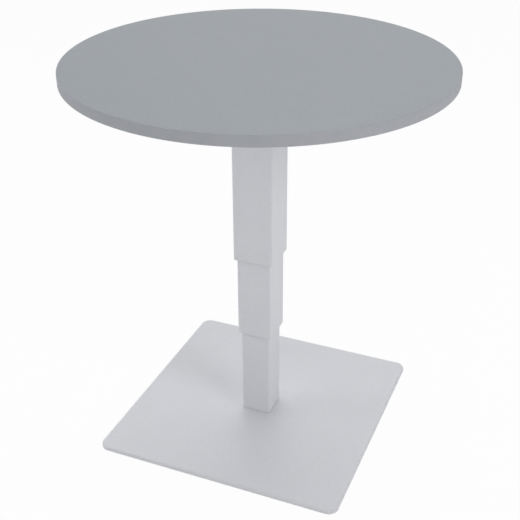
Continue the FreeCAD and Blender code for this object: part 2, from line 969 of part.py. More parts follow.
def make_worm_bushings():
    """The two bushings in the housing, one at each end of the worm."""
    near = size.worm_length / 2 + size.running_gap
    far = size.worm_length / 2 + size.bushing_length
    across = (size.worm_offset, worm_level)
    bore = size.shaft_radius + size.running_gap
    rings = [
        sleeve("x", size.bushing_radius, bore, ends, across)
        for ends in ((-far, -near), (near, far))
    ]
    node("worm_bushings", collect(rings))


def make_gearbox_screws():
    """Four long countersunk screws from the top plate down through the gearbox."""
    head_depth = size.gearbox_screw_radius
    head_top = board_bottom - size.screw_gap
    screws = []
    for place in at_corners(size.gearbox_screw_offset, size.gearbox_screw_offset):
        radii = (size.gearbox_screw_radius, 2 * size.gearbox_screw_radius)
        shank = (board_bottom - size.gearbox_screw_length, head_top - head_depth)
        head = taper("z", radii, (head_top - head_depth, head_top), place)
        screws.append(fuse(head, rod("z", size.gearbox_screw_radius, shank, place)))
    node("gearbox_screws", collect(screws))


# ---------------------------------------------------------------- motor

motor_axis = (size.worm_offset, worm_level)
motor_front_face = -size.boss_reach
motor_rear = -(size.boss_reach + size.motor_length)


def make_motor_can():
    """Drawn steel can, closed at the front but for the shaft and screw holes."""
    bore = size.motor_radius - size.motor_wall
    inside = (motor_rear, motor_front_face - size.motor_front)
    screw_holes = [
        rod("x", size.motor_screw_radius + size.screw_gap, (inside[1], motor_front_face),
            (size.worm_offset, worm_level + way * size.motor_screw_offset))
        for way in (1, -1)
    ]
    can = carve(
        rod("x", size.motor_radius, (motor_rear, motor_front_face), motor_axis),
        rod("x", bore, inside, motor_axis),
        rod("x", size.shaft_radius + size.ring_gap, (inside[1], motor_front_face), motor_axis),
        *screw_holes,
    )
    node("motor_can", can)


def make_motor_magnets():
    """Two curved magnets on the wall of the can."""
    outside = size.motor_radius - size.motor_wall - size.screw_gap
    middle = (motor_rear + motor_front_face) / 2
    ends = span(size.rotor_length, middle)
    ring = sleeve("x", outside, outside - size.magnet_thickness, ends, motor_axis)
    split = block(ends, span(size.magnet_split, size.worm_offset),
                  span(2 * size.motor_radius, worm_level))
    node("motor_magnets", carve(ring, split))


def make_motor_cap():
    """Plastic end cap with the rear bearing and the stub that the lead comes out of."""
    cap_end = motor_rear - size.cap_length
    plug_radius = size.motor_radius - size.motor_wall - size.screw_gap
    stub = (cap_end - size.cap_length, cap_end)
    shaft_hole = (motor_rear, motor_rear + size.cap_length)
    cap = fuse(
        rod("x", size.motor_radius, (cap_end, motor_rear), motor_axis),
        rod("x", plug_radius, (motor_rear, motor_rear + 2), motor_axis),
        rod("x", size.bushing_radius, shaft_hole, motor_axis),
        rod("x", 2 * size.lead_radius, stub, motor_axis),
    )
    cap = carve(
        cap,
        rod("x", size.shaft_radius + size.running_gap, shaft_hole, motor_axis),
        rod("x", size.lead_radius + size.lead_gap, stub, motor_axis),
    )
    node("motor_end_cap", cap)


def make_motor_screws():
    """Two screws from inside the can into the boss of the gearbox."""
    seat = motor_front_face - size.motor_front
    screws = []
    for way in (1, -1):
        across = (size.worm_offset, worm_level + way * size.motor_screw_offset)
        shank = (seat, motor_front_face + size.motor_front * 2)
        head = (seat - size.cover_head_height, seat)
        screws.append(fuse(
            rod("x", size.motor_screw_radius, shank, across),
            rod("x", size.cover_head_radius, head, across),
        ))
    node("motor_screws", collect(screws))


def make_rotor():
    """Motor shaft, which also carries the worm, and the wound armature on it."""
    bushing_end = size.worm_length / 2 + size.bushing_length
    shaft_ends = (motor_rear + 1, bushing_end)
    node("motor_shaft", rod("x", size.shaft_radius, shaft_ends, motor_axis))
    middle = (motor_rear + motor_front_face) / 2
    armature = span(size.rotor_length, middle)
    commutator = (motor_rear + size.cap_length + 1, armature[0])
    rotor = fuse(
        rod("x", size.rotor_radius, armature, motor_axis),
        rod("x", size.commutator_radius, commutator, motor_axis),
    )
    bore = rod("x", size.shaft_radius, (commutator[0], armature[1]), motor_axis)
    node("rotor", carve(rotor, bore))


# ---------------------------------------------------------------- top plate, arms, tabletop

def make_top_plate():
    """Steel plate on the outer tube, set diagonally so that each side meets an arm."""
    body = new_body("top_plate_body")
    half_diagonal = size.top_plate_side / math.sqrt(2)
    outline = new_sketch(body)
    draw_outline(outline, [
        (half_diagonal, 0), (0, half_diagonal), (-half_diagonal, 0), (0, -half_diagonal),
    ])
    pad(body, outline, size.top_plate_thickness)
    holes = new_sketch(body)
    for place in at_corners(size.gearbox_screw_offset, size.gearbox_screw_offset):
        draw_circle(holes, size.gearbox_screw_radius + size.screw_gap, place)
    drilled = pocket(body, holes, size.top_plate_thickness, backwards=True)
    mouths = level_edges(drilled.Shape, size.top_plate_thickness, size.outer_side / 2)
    bevel(body, drilled, mouths, size.gearbox_screw_radius)
    bind(body, "Placement.Base.z", outer_top)
    node("column_top_plate", body)


def make_support_arm(label, heading):
    """Folded steel arm under the board: a channel that opens downward and tapers outward."""
    body = new_body(label + "_body")
    start = size.top_plate_side / 2
    side_view = new_sketch(body, "XZ_Plane")
    draw_outline(side_view, [
        (start, -size.arm_depth_in),
        (size.arm_reach, -size.arm_depth_out),
        (size.arm_reach, 0),
        (start, 0),
    ])
    pad(body, side_view, size.arm_width, both_ways=True)
    inside = new_sketch(body, offset=-size.arm_sheet)
    channel = (start + size.arm_sheet, size.arm_reach - size.arm_sheet)
    draw_rectangle(inside, channel, span(size.arm_width - 2 * size.arm_sheet))
    pocket(body, inside, size.arm_depth_in)
    holes = new_sketch(body)
    for distance in (size.arm_screw_in, size.arm_screw_out):
        draw_circle(holes, size.wood_screw_radius + size.screw_gap, (distance, 0))
    pocket(body, holes, size.arm_sheet)
    body.Placement = FreeCAD.Placement(Vector(), Rotation(Vector(0, 0, 1), heading))
    bind(body, "Placement.Base.z", board_bottom)
    node(label, body)


ARM_HEADINGS = {
    "support_arm_back_right": 45,
    "support_arm_back_left": 135,
    "support_arm_front_left": 225,
    "support_arm_front_right": 315,
}


def wood_screw_places():
    """Where the board takes screws, with the thickness that each one clamps."""
    places = []
    for heading in ARM_HEADINGS.values():
        turn_x = math.cos(math.radians(heading))
        turn_y = math.sin(math.radians(heading))
        for distance in (size.arm_screw_in, size.arm_screw_out):
            places.append((distance * turn_x, distance * turn_y, size.arm_sheet))
    for way in (1, -1):
        box_y = way * (size.box_length / 2 + size.box_ear / 2)
        places.append((size.box_centre, box_y, size.box_base))
        handset_y = way * (size.handset_length / 2 + size.handset_ear / 2)
        places.append((size.handset_centre, handset_y, size.box_base))
    return places


def make_tabletop_board():
    """Coated round board with blind holes for the screws from below."""
    body = new_body("tabletop_board_body")
    outline = new_sketch(body)
    draw_circle(outline, size.top_diameter / 2 - size.band_thickness)
    pad(body, outline, size.top_thickness)
    holes = new_sketch(body)
    for x, y, _ in wood_screw_places():
        draw_circle(holes, size.wood_screw_radius, (x, y))
    pocket(body, holes, size.wood_screw_length - size.arm_sheet, backwards=True)
    bind(body, "Placement.Base.z", board_bottom)
    node("tabletop_board", body)


def make_edge_band():
    """Plastic band round the board, its outer edges softly rounded."""
    body = new_body("edge_band_body")
    outside = size.top_diameter / 2
    sketch = new_sketch(body, "XZ_Plane")
    draw_rectangle(sketch, (outside - size.band_thickness, outside), (0, size.top_thickness))
    ring = turn(body, sketch)
    rims = [
        f"Edge{i}" for i, edge in enumerate(ring.Shape.Edges, start=1)
        if edge.BoundBox.ZLength < 1e-4 and edge.BoundBox.XMax > outside.value - 1e-3
    ]
    round_off(body, ring, rims, size.band_rounding)
    bind(body, "Placement.Base.z", board_bottom)
    node("edge_band", body)


def make_wood_screws():
    """Pan-head screws that hold the arms, the control box and the handset on the board."""
    screws = []
    for x, y, clamped in wood_screw_places():
        seat = board_bottom - clamped
        head = (seat - size.pan_head_height, seat)
        shank = (seat, seat + size.wood_screw_length)
        screws.append(fuse(
            rod("z", size.pan_head_radius, head, (x, y)),
            rod("z", size.wood_screw_radius, shank, (x, y)),
        ))
    node("wood_screws", collect(screws))


# ---------------------------------------------------------------- control box

box_bottom = board_bottom - size.box_height
box_lid_top = board_bottom - size.box_base
box_ends = span(size.box_length)
box_sides = span(size.box_width, size.box_centre)
lead_level = board_bottom - size.lead_drop
motor_lead_level = worm_level + size.motor_lead_rise
handset_lead_in = (size.box_centre + 17, box_ends[1])


def make_control_box_base():
    """Plate against the board, with an ear at each end and posts for the cover's screws."""
    ears_y = span(size.box_length + 2 * size.box_ear)
    ears = block(span(size.box_ear_width, size.box_centre), ears_y, (box_lid_top, board_bottom))
    plate = block(box_sides, box_ends, (box_lid_top, board_bottom))
    floor = box_bottom + size.box_wall
    screw_top = box_bottom + size.cover_screw_length + 1
    places = at_corners(size.box_screw_across, size.box_screw_along, (size.box_centre, 0))
    posts = [rod("z", size.post_radius, (floor, box_lid_top), place) for place in places]
    pilots = [rod("z", size.cover_screw_radius, (floor, screw_top), place) for place in places]
    ear_holes = [
        rod("z", size.wood_screw_radius + size.screw_gap, (box_lid_top, board_bottom),
            (size.box_centre, way * (size.box_length / 2 + size.box_ear / 2)))
        for way in (1, -1)
    ]
    node("control_box_base", carve(fuse(ears, plate, *posts), *pilots, *ear_holes))


def circuit_rest_places():
    """Where the circuit board rests, staked down, in the cover."""
    return at_corners(size.rest_across, size.rest_along, (size.box_centre, 0))


def make_control_box_cover():
    """Tray-shaped plastic cover with openings for the inlet and the two leads."""
    body = new_body("control_box_cover_body")
    height = size.box_height - size.box_base
    shell = rounded_slab(body, size.box_width, size.box_length, height, size.box_corner)
    round_off(body, shell, level_edges(shell.Shape, as_size(0)), size.box_wall * 0.8)
    inside = new_sketch(body, offset=height)
    draw_rectangle(
        inside,
        span(size.box_width - 2 * size.box_wall),
        span(size.box_length - 2 * size.box_wall),
    )
    pocket(body, inside, height - size.box_wall)
    bind_place(body, size.box_centre, 0, box_bottom)
    floor = (box_bottom, box_bottom + size.box_wall)
    places = at_corners(size.box_screw_across, size.box_screw_along, (size.box_centre, 0))
    hole_radius = size.cover_screw_radius + size.screw_gap
    screw_holes = [rod("z", hole_radius, floor, place) for place in places]
    inlet_hole = block(
        span(size.inlet_width + size.panel_gap, size.box_centre),
        (box_ends[0], box_ends[0] + size.box_wall),
        span(size.inlet_height + size.panel_gap, box_bottom + size.inlet_level),
    )
    motor_hole = rod("x", size.grommet_radius, (box_sides[1] - size.box_wall, box_sides[1]),
                     (size.worm_offset, motor_lead_level))
    handset_hole = rod("y", size.grommet_radius, (box_ends[1] - size.box_wall, box_ends[1]),
                       (handset_lead_in[0], lead_level))
    cover = carve(body, *screw_holes, inlet_hole, motor_hole, handset_hole)
    board_level = box_bottom + size.circuit_rise
    stake_top = board_level + size.circuit_thickness + 1
    rests = []
    for place in circuit_rest_places():
        rests.append(rod("z", size.post_radius, (floor[1], board_level), place))
        rests.append(rod("z", size.stake_radius, (board_level, stake_top), place))
    node("control_box_cover", fuse(cover, *rests))


def make_circuit_board():
    """Circuit board on the rests of the cover, and the parts soldered to it."""
    bottom = box_bottom + size.circuit_rise
    top = bottom + size.circuit_thickness
    along = span(size.circuit_length, 3)
    stake_hole = size.stake_radius + size.screw_gap
    holes = [rod("z", stake_hole, (bottom, top), place) for place in circuit_rest_places()]
    board = block(span(size.circuit_width, size.box_centre), along, (bottom, top))
    node("circuit_board", carve(board, *holes))
    transformer = block(span(30, size.box_centre), span(28, -35), (top, top + 18))
    relays = [
        block(span(16, size.box_centre + side), span(19, 44), (top, top + 15))
        for side in (-10, 10)
    ]
    capacitors = [
        rod("z", 6, (top, top + 16), (size.box_centre + side, 8)) for side in (-18, -3, 12)
    ]
    heat_sink = block(span(4, size.box_centre + 26), span(50, -30), (top, top + 18))
    node("circuit_parts", collect([transformer, *relays, *capacitors, heat_sink]))


def make_mains_inlet():
    """Two-pin mains inlet in the end of the control box."""
    level = box_bottom + size.inlet_level
    face = box_ends[0] - size.inlet_lip
    body_x = span(size.inlet_width, size.box_centre)
    body_z = span(size.inlet_height, level)
    lip_x = span(size.inlet_width + 2 * size.inlet_lip, size.box_centre)
    lip_z = span(size.inlet_height + 2 * size.inlet_lip, level)
    solid = fuse(
        block(lip_x, (face, box_ends[0]), lip_z),
        block(body_x, (box_ends[0], box_ends[0] + size.inlet_depth), body_z),
    )
    recess_end = face + size.recess_depth
    recess = block(
        span(size.recess_width, size.box_centre),
        (face, recess_end),
        span(size.recess_height, level),
    )
    pins = [
        rod("y", size.pin_radius, (face + 3, recess_end),
            (size.box_centre + way * size.pin_spacing / 2, level))
        for way in (1, -1)
    ]
    node("mains_inlet", fuse(carve(solid, recess), *pins))


# ---------------------------------------------------------------- handset

handset_bottom = board_bottom - size.handset_height
handset_rim = handset_bottom + size.handset_wall
handset_front = size.handset_centre - size.handset_width / 2
handset_ends = span(size.handset_length)
handset_lead_out = (size.handset_centre + 13, handset_ends[1])
button_level = board_bottom - size.button_drop
plunger_tip = handset_front + size.handset_board_inset - size.switch_height - size.plunger_height


def make_handset_housing():
    """Plastic housing against the board, open below, with two button holes in its front."""
    body = new_body("handset_housing_body")
    height = size.handset_height - size.handset_wall
    rounded_slab(body, size.handset_width, size.handset_length, height, size.handset_corner)
    inside = new_sketch(body)
    draw_rectangle(
        inside,
        span(size.handset_width - 2 * size.handset_wall),
        span(size.handset_length - 2 * size.handset_wall),
    )
    pocket(body, inside, height - size.handset_wall, backwards=True)
    bind_place(body, size.handset_centre, 0, handset_rim)
    ears = block(
        span(size.handset_ear_width, size.handset_centre),
        span(size.handset_length + 2 * size.handset_ear),
        (board_bottom - size.box_base, board_bottom),
    )
    clear = block(
        span(size.handset_ear_width, size.handset_centre),
        span(size.handset_length - size.handset_wall),
        (board_bottom - size.box_base, board_bottom - size.handset_wall),
    )
    places = at_corners(size.handset_screw_across, size.handset_screw_along,
                        (size.handset_centre, 0))
    post_ends = (handset_rim, board_bottom - size.handset_wall)
    posts = [rod("z", size.post_radius, post_ends, place) for place in places]
    board_front = handset_front + size.handset_board_inset
    board_rear = board_front + size.circuit_thickness
    rib_x = (board_front - size.rib_thickness, board_rear + size.rib_thickness)
    rib_end = size.handset_length / 2 - size.handset_wall
    ribs = [
        block(rib_x, ordered(way * rib_end, way * (rib_end - size.rib_length)), post_ends)
        for way in (1, -1)
    ]
    board_slot = block(
        (board_front - size.screw_gap, board_rear + size.screw_gap),
        span(size.handset_board_length + 2 * size.screw_gap),
        (handset_rim, board_bottom - size.handset_wall),
    )
    pilot_ends = (handset_rim, handset_bottom + size.cover_screw_length + 1)
    pilots = [rod("z", size.cover_screw_radius, pilot_ends, place) for place in places]
    front_wall = (handset_front, handset_front + size.handset_wall)
    button_holes = [
        rod("x", size.button_radius + size.button_gap, front_wall,
            (way * size.button_spacing / 2, button_level))
        for way in (1, -1)
    ]
    ear_holes = [
        rod("z", size.wood_screw_radius + size.screw_gap,
            (board_bottom - size.box_base, board_bottom),
            (size.handset_centre, way * (size.handset_length / 2 + size.handset_ear / 2)))
        for way in (1, -1)
    ]
    lead_hole = rod("y", size.grommet_radius,
                    (handset_ends[1] - size.handset_wall, handset_ends[1]),
                    (handset_lead_out[0], lead_level))
    solid = fuse(body, carve(ears, clear), *posts, *ribs)
    cutters = [*pilots, *button_holes, *ear_holes, lead_hole, board_slot]
    node("handset_housing", carve(solid, *cutters))


def make_handset_cover():
    """Lower cover of the handset, its lower edge rounded."""
    body = new_body("handset_cover_body")
    slab = rounded_slab(body, size.handset_width, size.handset_length, size.handset_wall,
                        size.handset_corner)
    round_off(body, slab, level_edges(slab.Shape, as_size(0)), size.handset_wall * 0.6)
    bind_place(body, size.handset_centre, 0, handset_bottom)
    places = at_corners(size.handset_screw_across, size.handset_screw_along,
                        (size.handset_centre, 0))
    hole_radius = size.cover_screw_radius + size.screw_gap
    holes = [rod("z", hole_radius, (handset_bottom, handset_rim), place) for place in places]
    node("handset_cover", carve(body, *holes))


def make_cover_screws():
    """Small screws from below that hold the covers of the control box and the handset."""
    places = [
        (place, box_bottom) for place in
        at_corners(size.box_screw_across, size.box_screw_along, (size.box_centre, 0))
    ]
    places += [
        (place, handset_bottom) for place in
        at_corners(size.handset_screw_across, size.handset_screw_along, (size.handset_centre, 0))
    ]
    screws = [
        fuse(
            rod("z", size.cover_head_radius, (seat - size.cover_head_height, seat), place),
            rod("z", size.cover_screw_radius, (seat, seat + size.cover_screw_length), place),
        )
        for place, seat in places
    ]
    node("cover_screws", collect(screws))


def make_handset_board():
    """Small upright circuit board with one switch behind each button."""
    front = handset_front + size.handset_board_inset
    bottom = handset_rim + 1
    board = block(
        (front, front + size.circuit_thickness),
        span(size.handset_board_length),
        (bottom, bottom + size.handset_board_height),
    )
    node("handset_board", board)
    switches = []
    for way in (1, -1):
        middle = way * size.button_spacing / 2
        case_front = front - size.switch_height
        case = block(
            (case_front, front),
            span(size.switch_side, middle),
            span(size.switch_side, button_level),
        )
        plunger = rod("x", size.plunger_radius, (plunger_tip, case_front),
                      (middle, button_level))
        switches.append(fuse(case, plunger))
    node("handset_switches", collect(switches))


def make_button(label, way):
    """Round push button with a flange that keeps it behind the front wall."""
    across = (way * size.button_spacing / 2, button_level)
    wall_inside = handset_front + size.handset_wall
    flange_start = wall_inside + size.button_gap
    stem_end = plunger_tip - size.button_travel - size.button_rest_gap
    button = fuse(
        rod("x", size.button_radius, (handset_front - size.button_proud, flange_start), across),
        rod("x", size.button_flange,
            (flange_start, flange_start + size.button_flange_depth), across),
        rod("x", size.plunger_radius + 1,
            (flange_start + size.button_flange_depth, stem_end), across),
    )
    node(label, button)


# ---------------------------------------------------------------- leads

MOTOR_LEAD_ROUTE = [
    (-122, 25, 712),
    (-135, 25, 712),
    (-149, 25, 720),
    (-164, 25, 720),
]
HANDSET_LEAD_ROUTE = [
    (-290, 50, 733),
    (-290, 104, 733),
    (-268.6, 134.4, 733),
    (-234, 145.7, 733),
    (-199.4, 134.4, 733),
    (-178, 105, 733),
    (-178, 74, 733),
]
BEND_SHARE = 0.45


def lead_path(route):
    """Straight runs joined by tangent arcs, each as large as its two runs allow."""
    points = [Vector(*point) for point in route]
    edges, radii, start = [], [], points[0]
    for before, corner, after in zip(points, points[1:], points[2:]):
        inward = (corner - before).normalize()
        outward = (after - corner).normalize()
        half_turn = inward.getAngle(outward) / 2
        setback = BEND_SHARE * min((corner - before).Length, (after - corner).Length)
        radius = setback / math.tan(half_turn)
        radii.append(round(radius, 1))
        arc_start = corner - inward * setback
        arc_end = corner + outward * setback
        toward_centre = (outward - inward).normalize()
        arc_middle = corner + toward_centre * (radius / math.cos(half_turn) - radius)
        edges.append(Part.LineSegment(start, arc_start).toShape())
        edges.append(Part.Arc(arc_start, arc_middle, arc_end).toShape())
        start = arc_end
    edges.append(Part.LineSegment(start, points[-1]).toShape())
    return Part.Wire(edges), radii


def make_lead(label, route):
    """A round lead along its route, checked against its section times its length."""
    path, radii = lead_path(route)
    start, following = Vector(*route[0]), Vector(*route[1])
    radius = size.lead_radius.value
    section = Part.Wire(Part.makeCircle(radius, start, following - start))
    tube = path.makePipeShell([section], True, False)
    expected = math.pi * radius ** 2 * path.Length
    print(f"{label}: length {path.Length:.1f}, volume {tube.Volume:.0f} of {expected:.0f}, "
          f"bend radii {radii}")
    lead = doc.addObject("Part::Feature", label + "_tube")
    lead.Shape = tube
    node(label, lead)


def make_grommets():
    """Rubber grommets where the leads enter the control box and leave the handset."""
    bore = size.lead_radius + size.lead_gap
    box_wall = (box_sides[1] - size.box_wall, box_sides[1])
    end_wall = (box_ends[1] - size.box_wall, box_ends[1])
    handset_wall = (handset_ends[1] - size.handset_wall, handset_ends[1])
    seats = [
        ("x", box_wall, (size.worm_offset, motor_lead_level)),
        ("y", end_wall, (handset_lead_in[0], lead_level)),
        ("y", handset_wall, (handset_lead_out[0], lead_level)),
    ]
    grommets = []
    for axis, wall, across in seats:
        lip = (wall[1], wall[1] + size.grommet_lip_depth)
        plug = rod(axis, size.grommet_radius, wall, across)
        solid = fuse(plug, rod(axis, size.grommet_lip, lip, across))
        grommets.append(carve(solid, rod(axis, bore, (wall[0], lip[1]), across)))
    node("lead_grommets", collect(grommets))


def make_lead_clips():
    """Two plastic saddles, stuck under the board, that hold the handset lead."""
    bore = size.lead_radius + 2 * size.lead_gap
    height = (board_bottom - size.clip_depth, board_bottom)
    first_x, first_y = -290, 83
    second_x, second_y = -234, 143.1
    first = carve(
        block(span(size.clip_width, first_x), span(size.clip_length, first_y), height),
        rod("y", bore, span(size.clip_length, first_y), (first_x, lead_level)),
    )
    second = carve(
        block(span(size.clip_length, second_x), span(size.clip_width, second_y), height),
        rod("x", bore, span(size.clip_length, second_x), (second_y, lead_level)),
    )
    node("lead_clips", collect([first, second]))


# ---------------------------------------------------------------- the whole table

make_floor_pads()
make_base_plate()
make_foot_block()
make_foot_screws()
make_inner_tube()
make_inner_head()
make_glides("inner_glides", size.inner_side, middle_bore, inner_top)

make_middle_tube()
make_middle_head()
make_bearing_circlip()
make_glides("middle_glides", size.middle_side, outer_bore, middle_top)
make_guide_sleeve("middle_guide_sleeve", middle_bore, size.inner_side, size.middle_bottom)

make_outer_tube()
make_guide_sleeve("outer_guide_sleeve", outer_bore, size.middle_side, size.outer_bottom)
make_upper_spindle()
make_lower_spindle()
make_gearbox_housing()
make_worm_wheel()
make_wheel_bearings()
make_worm()
make_worm_bushings()
make_gearbox_screws()
make_motor_can()
make_motor_magnets()
make_motor_cap()
make_motor_screws()
make_rotor()

make_top_plate()
for arm_label, arm_heading in ARM_HEADINGS.items():
    make_support_arm(arm_label, arm_heading)
make_tabletop_board()
make_edge_band()
make_wood_screws()

make_control_box_base()
make_control_box_cover()
make_circuit_board()
make_mains_inlet()
make_handset_housing()
make_handset_cover()
make_cover_screws()
make_handset_board()
make_button("up_button", 1)
make_button("down_button", -1)
make_lead("motor_lead", MOTOR_LEAD_ROUTE)
make_lead("handset_lead", HANDSET_LEAD_ROUTE)
make_grommets()
make_lead_clips()


def check_and_write():
    """Stop if anything failed to build, then write one file for each sub-part."""
    doc.recompute()
    for thing in doc.Objects:
        if {"Invalid", "Error"} & set(thing.State):
            raise RuntimeError(f"{thing.Name} did not build: {thing.State}")
    labels = [thing.Label for thing in nodes]
    if len(set(labels)) != len(labels):
        raise RuntimeError("two sub-parts share a label")
    for thing in nodes:
        shape = thing.Shape
        if shape.isNull() or not shape.isValid() or not shape.Solids:
            raise RuntimeError(f"{thing.Label} is not a sound solid")
    for thing in nodes:
        thing.Shape.exportStep(f"parts/{thing.Label}.step")
    print(f"{len(nodes)} sub-parts")


check_and_write()
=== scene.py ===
"""Looks of a height-adjustable pedestal table: a grey round top on a telescoping square
column and a flat square plate, with the drive, the control box and the handset underneath.

Everything is in metres, +Z up, with the origin on the floor under the middle of the table.
"""

import json
import math

import bmesh
import bpy
from mathutils import Matrix, Vector


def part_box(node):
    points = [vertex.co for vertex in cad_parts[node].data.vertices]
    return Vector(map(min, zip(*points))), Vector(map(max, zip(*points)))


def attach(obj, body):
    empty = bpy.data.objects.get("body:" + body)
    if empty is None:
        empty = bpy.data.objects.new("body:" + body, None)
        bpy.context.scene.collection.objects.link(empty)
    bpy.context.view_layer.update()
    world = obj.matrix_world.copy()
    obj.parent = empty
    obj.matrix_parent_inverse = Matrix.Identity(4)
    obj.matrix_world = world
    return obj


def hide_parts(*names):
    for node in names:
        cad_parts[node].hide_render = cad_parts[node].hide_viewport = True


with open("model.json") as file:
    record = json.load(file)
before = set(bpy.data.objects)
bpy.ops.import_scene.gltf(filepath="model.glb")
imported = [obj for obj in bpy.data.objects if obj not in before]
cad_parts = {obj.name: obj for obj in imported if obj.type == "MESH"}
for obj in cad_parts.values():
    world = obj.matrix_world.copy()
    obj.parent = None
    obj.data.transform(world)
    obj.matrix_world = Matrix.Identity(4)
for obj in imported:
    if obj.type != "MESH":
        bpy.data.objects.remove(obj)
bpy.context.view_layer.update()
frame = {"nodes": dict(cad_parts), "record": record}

MM = 0.001
SLOT_OF = {entry["node"]: entry["material_slot"] for entry in frame["record"]["subparts"]}
BODY_OF = {
    node: body
    for body, members in frame["record"]["behaviour"]["bodies"].items()
    for node in members
}


# ---------------------------------------------------------------- camera and light

# The sky's light falls from the horizon to a height on the unit sphere and stays there. A
# direction in SIDE_LIGHT gets as much more as the opposite one gets less.
HORIZON_LIGHT = 1.40
ZENITH_LIGHT = 0.39
ZENITH_FROM = 0.6
SIDE_LIGHT = (-0.45, 0.60, 0.0)

# The share of the floor's light that is its own: on the table, and as the camera sees it.
FLOOR_GLOW = 0.15
FLOOR_GLOW_SEEN = 0.95
FLOOR_REACH = 30

LIGHT_AIM = Vector((0, 0, 0.3))
LIGHTS = {
    # name: (place, width, watts)
    "right_light": ((2.6, -0.95, 1.9), 1.5, 27.7),
    "left_light": ((-2.65, -0.80, 1.9), 0.8, 6.0),
    "front_light": ((0.63, -1.72, 2.92), 1.2, 9.4),
    "low_light": ((0, -3.13, 0.97), 1.5, 8.0),
    "back_light": ((-0.53, 1.99, 2.75), 1.5, 9.3),
    "back_left_light": ((-1.78, 1.03, 2.75), 1.5, 3.7),
}


def make_camera():
    """Camera at the front right, looking down on the top at 29 degrees."""
    data = bpy.data.cameras.new("camera")
    data.sensor_width = 36
    data.lens = 64.43
    data.shift_x = -0.01635
    data.shift_y = -0.02844
    camera = bpy.data.objects.new("camera", data)
    camera.location = (0.6111, -1.4615, 1.2602)
    camera.rotation_euler = (math.radians(61.282), 0, math.radians(22.129))
    bpy.context.scene.collection.objects.link(camera)
    bpy.context.scene.camera = camera


def linear(hex_colour):
    """An sRGB hex colour as linear red, green, blue and alpha."""
    channels = [int(hex_colour[i:i + 2], 16) / 255 for i in (1, 3, 5)]
    return (*[c / 12.92 if c <= 0.04045 else ((c + 0.055) / 1.055) ** 2.4 for c in channels], 1)


def add(tree, kind, links=None, inputs=None, ramp=(), **settings):
    """Add a node with its settings, its unlinked values and its incoming links."""
    node = tree.nodes.new(kind)
    for name, value in settings.items():
        setattr(node, name, value)
    for name, value in (inputs or {}).items():
        node.inputs[name].default_value = value
    for name, source in (links or {}).items():
        tree.links.new(source, node.inputs[name])
    for element, (position, hex_colour) in zip(node.color_ramp.elements if ramp else (), ramp):
        element.position = position
        element.color = linear(hex_colour)
    return node


def make_area_light(name, place, width, power):
    """A square soft light that faces the table."""
    data = bpy.data.lights.new(name, "AREA")
    data.shape = "SQUARE"
    data.size = width
    data.energy = power
    light = bpy.data.objects.new(name, data)
    light.location = place
    direction = LIGHT_AIM - Vector(place)
    light.rotation_euler = direction.to_track_quat("-Z", "Y").to_euler()
    bpy.context.scene.collection.objects.link(light)


def make_world():
    """Soft studio light from all sides: brightest near the horizon and at the back left.

    The camera, gloss and glass see it as plain white.
    """
    world = bpy.data.worlds.new("studio")
    bpy.context.scene.world = world
    world.use_nodes = True
    tree = world.node_tree
    tree.nodes.clear()
    sky = add(tree, "ShaderNodeTexCoord").outputs["Generated"]
    direction = add(tree, "ShaderNodeSeparateXYZ", links={"Vector": sky})
    height = add(tree, "ShaderNodeMapRange", links={"Value": direction.outputs["Z"]},
                 inputs={"From Min": 0.0, "From Max": ZENITH_FROM,
                         "To Min": HORIZON_LIGHT, "To Max": ZENITH_LIGHT})
    side = add(tree, "ShaderNodeVectorMath", operation="DOT_PRODUCT", inputs={1: SIDE_LIGHT},
               links={0: sky})
    level = add(tree, "ShaderNodeMath", operation="ADD", links={
        0: height.outputs["Result"], 1: side.outputs["Value"]})
    level = add(tree, "ShaderNodeMath", operation="MAXIMUM", inputs={1: 0.0},
                links={0: level.outputs[0]})
    path = add(tree, "ShaderNodeLightPath")
    seen = add(tree, "ShaderNodeMath", operation="MAXIMUM", links={
        0: path.outputs["Is Camera Ray"], 1: path.outputs["Is Glossy Ray"]})
    seen = add(tree, "ShaderNodeMath", operation="MAXIMUM", links={
        0: seen.outputs[0], 1: path.outputs["Is Transmission Ray"]})
    light = add(tree, "ShaderNodeBackground", inputs={"Color": linear("#fdfeff")},
                links={"Strength": level.outputs[0]})
    white = add(tree, "ShaderNodeBackground",
                inputs={"Color": linear("#ffffff"), "Strength": 1.0})
    mixed = add(tree, "ShaderNodeMixShader", links={
        0: seen.outputs[0], 1: light.outputs[0], 2: white.outputs[0]})
    add(tree, "ShaderNodeOutputWorld", links={"Surface": mixed.outputs[0]})


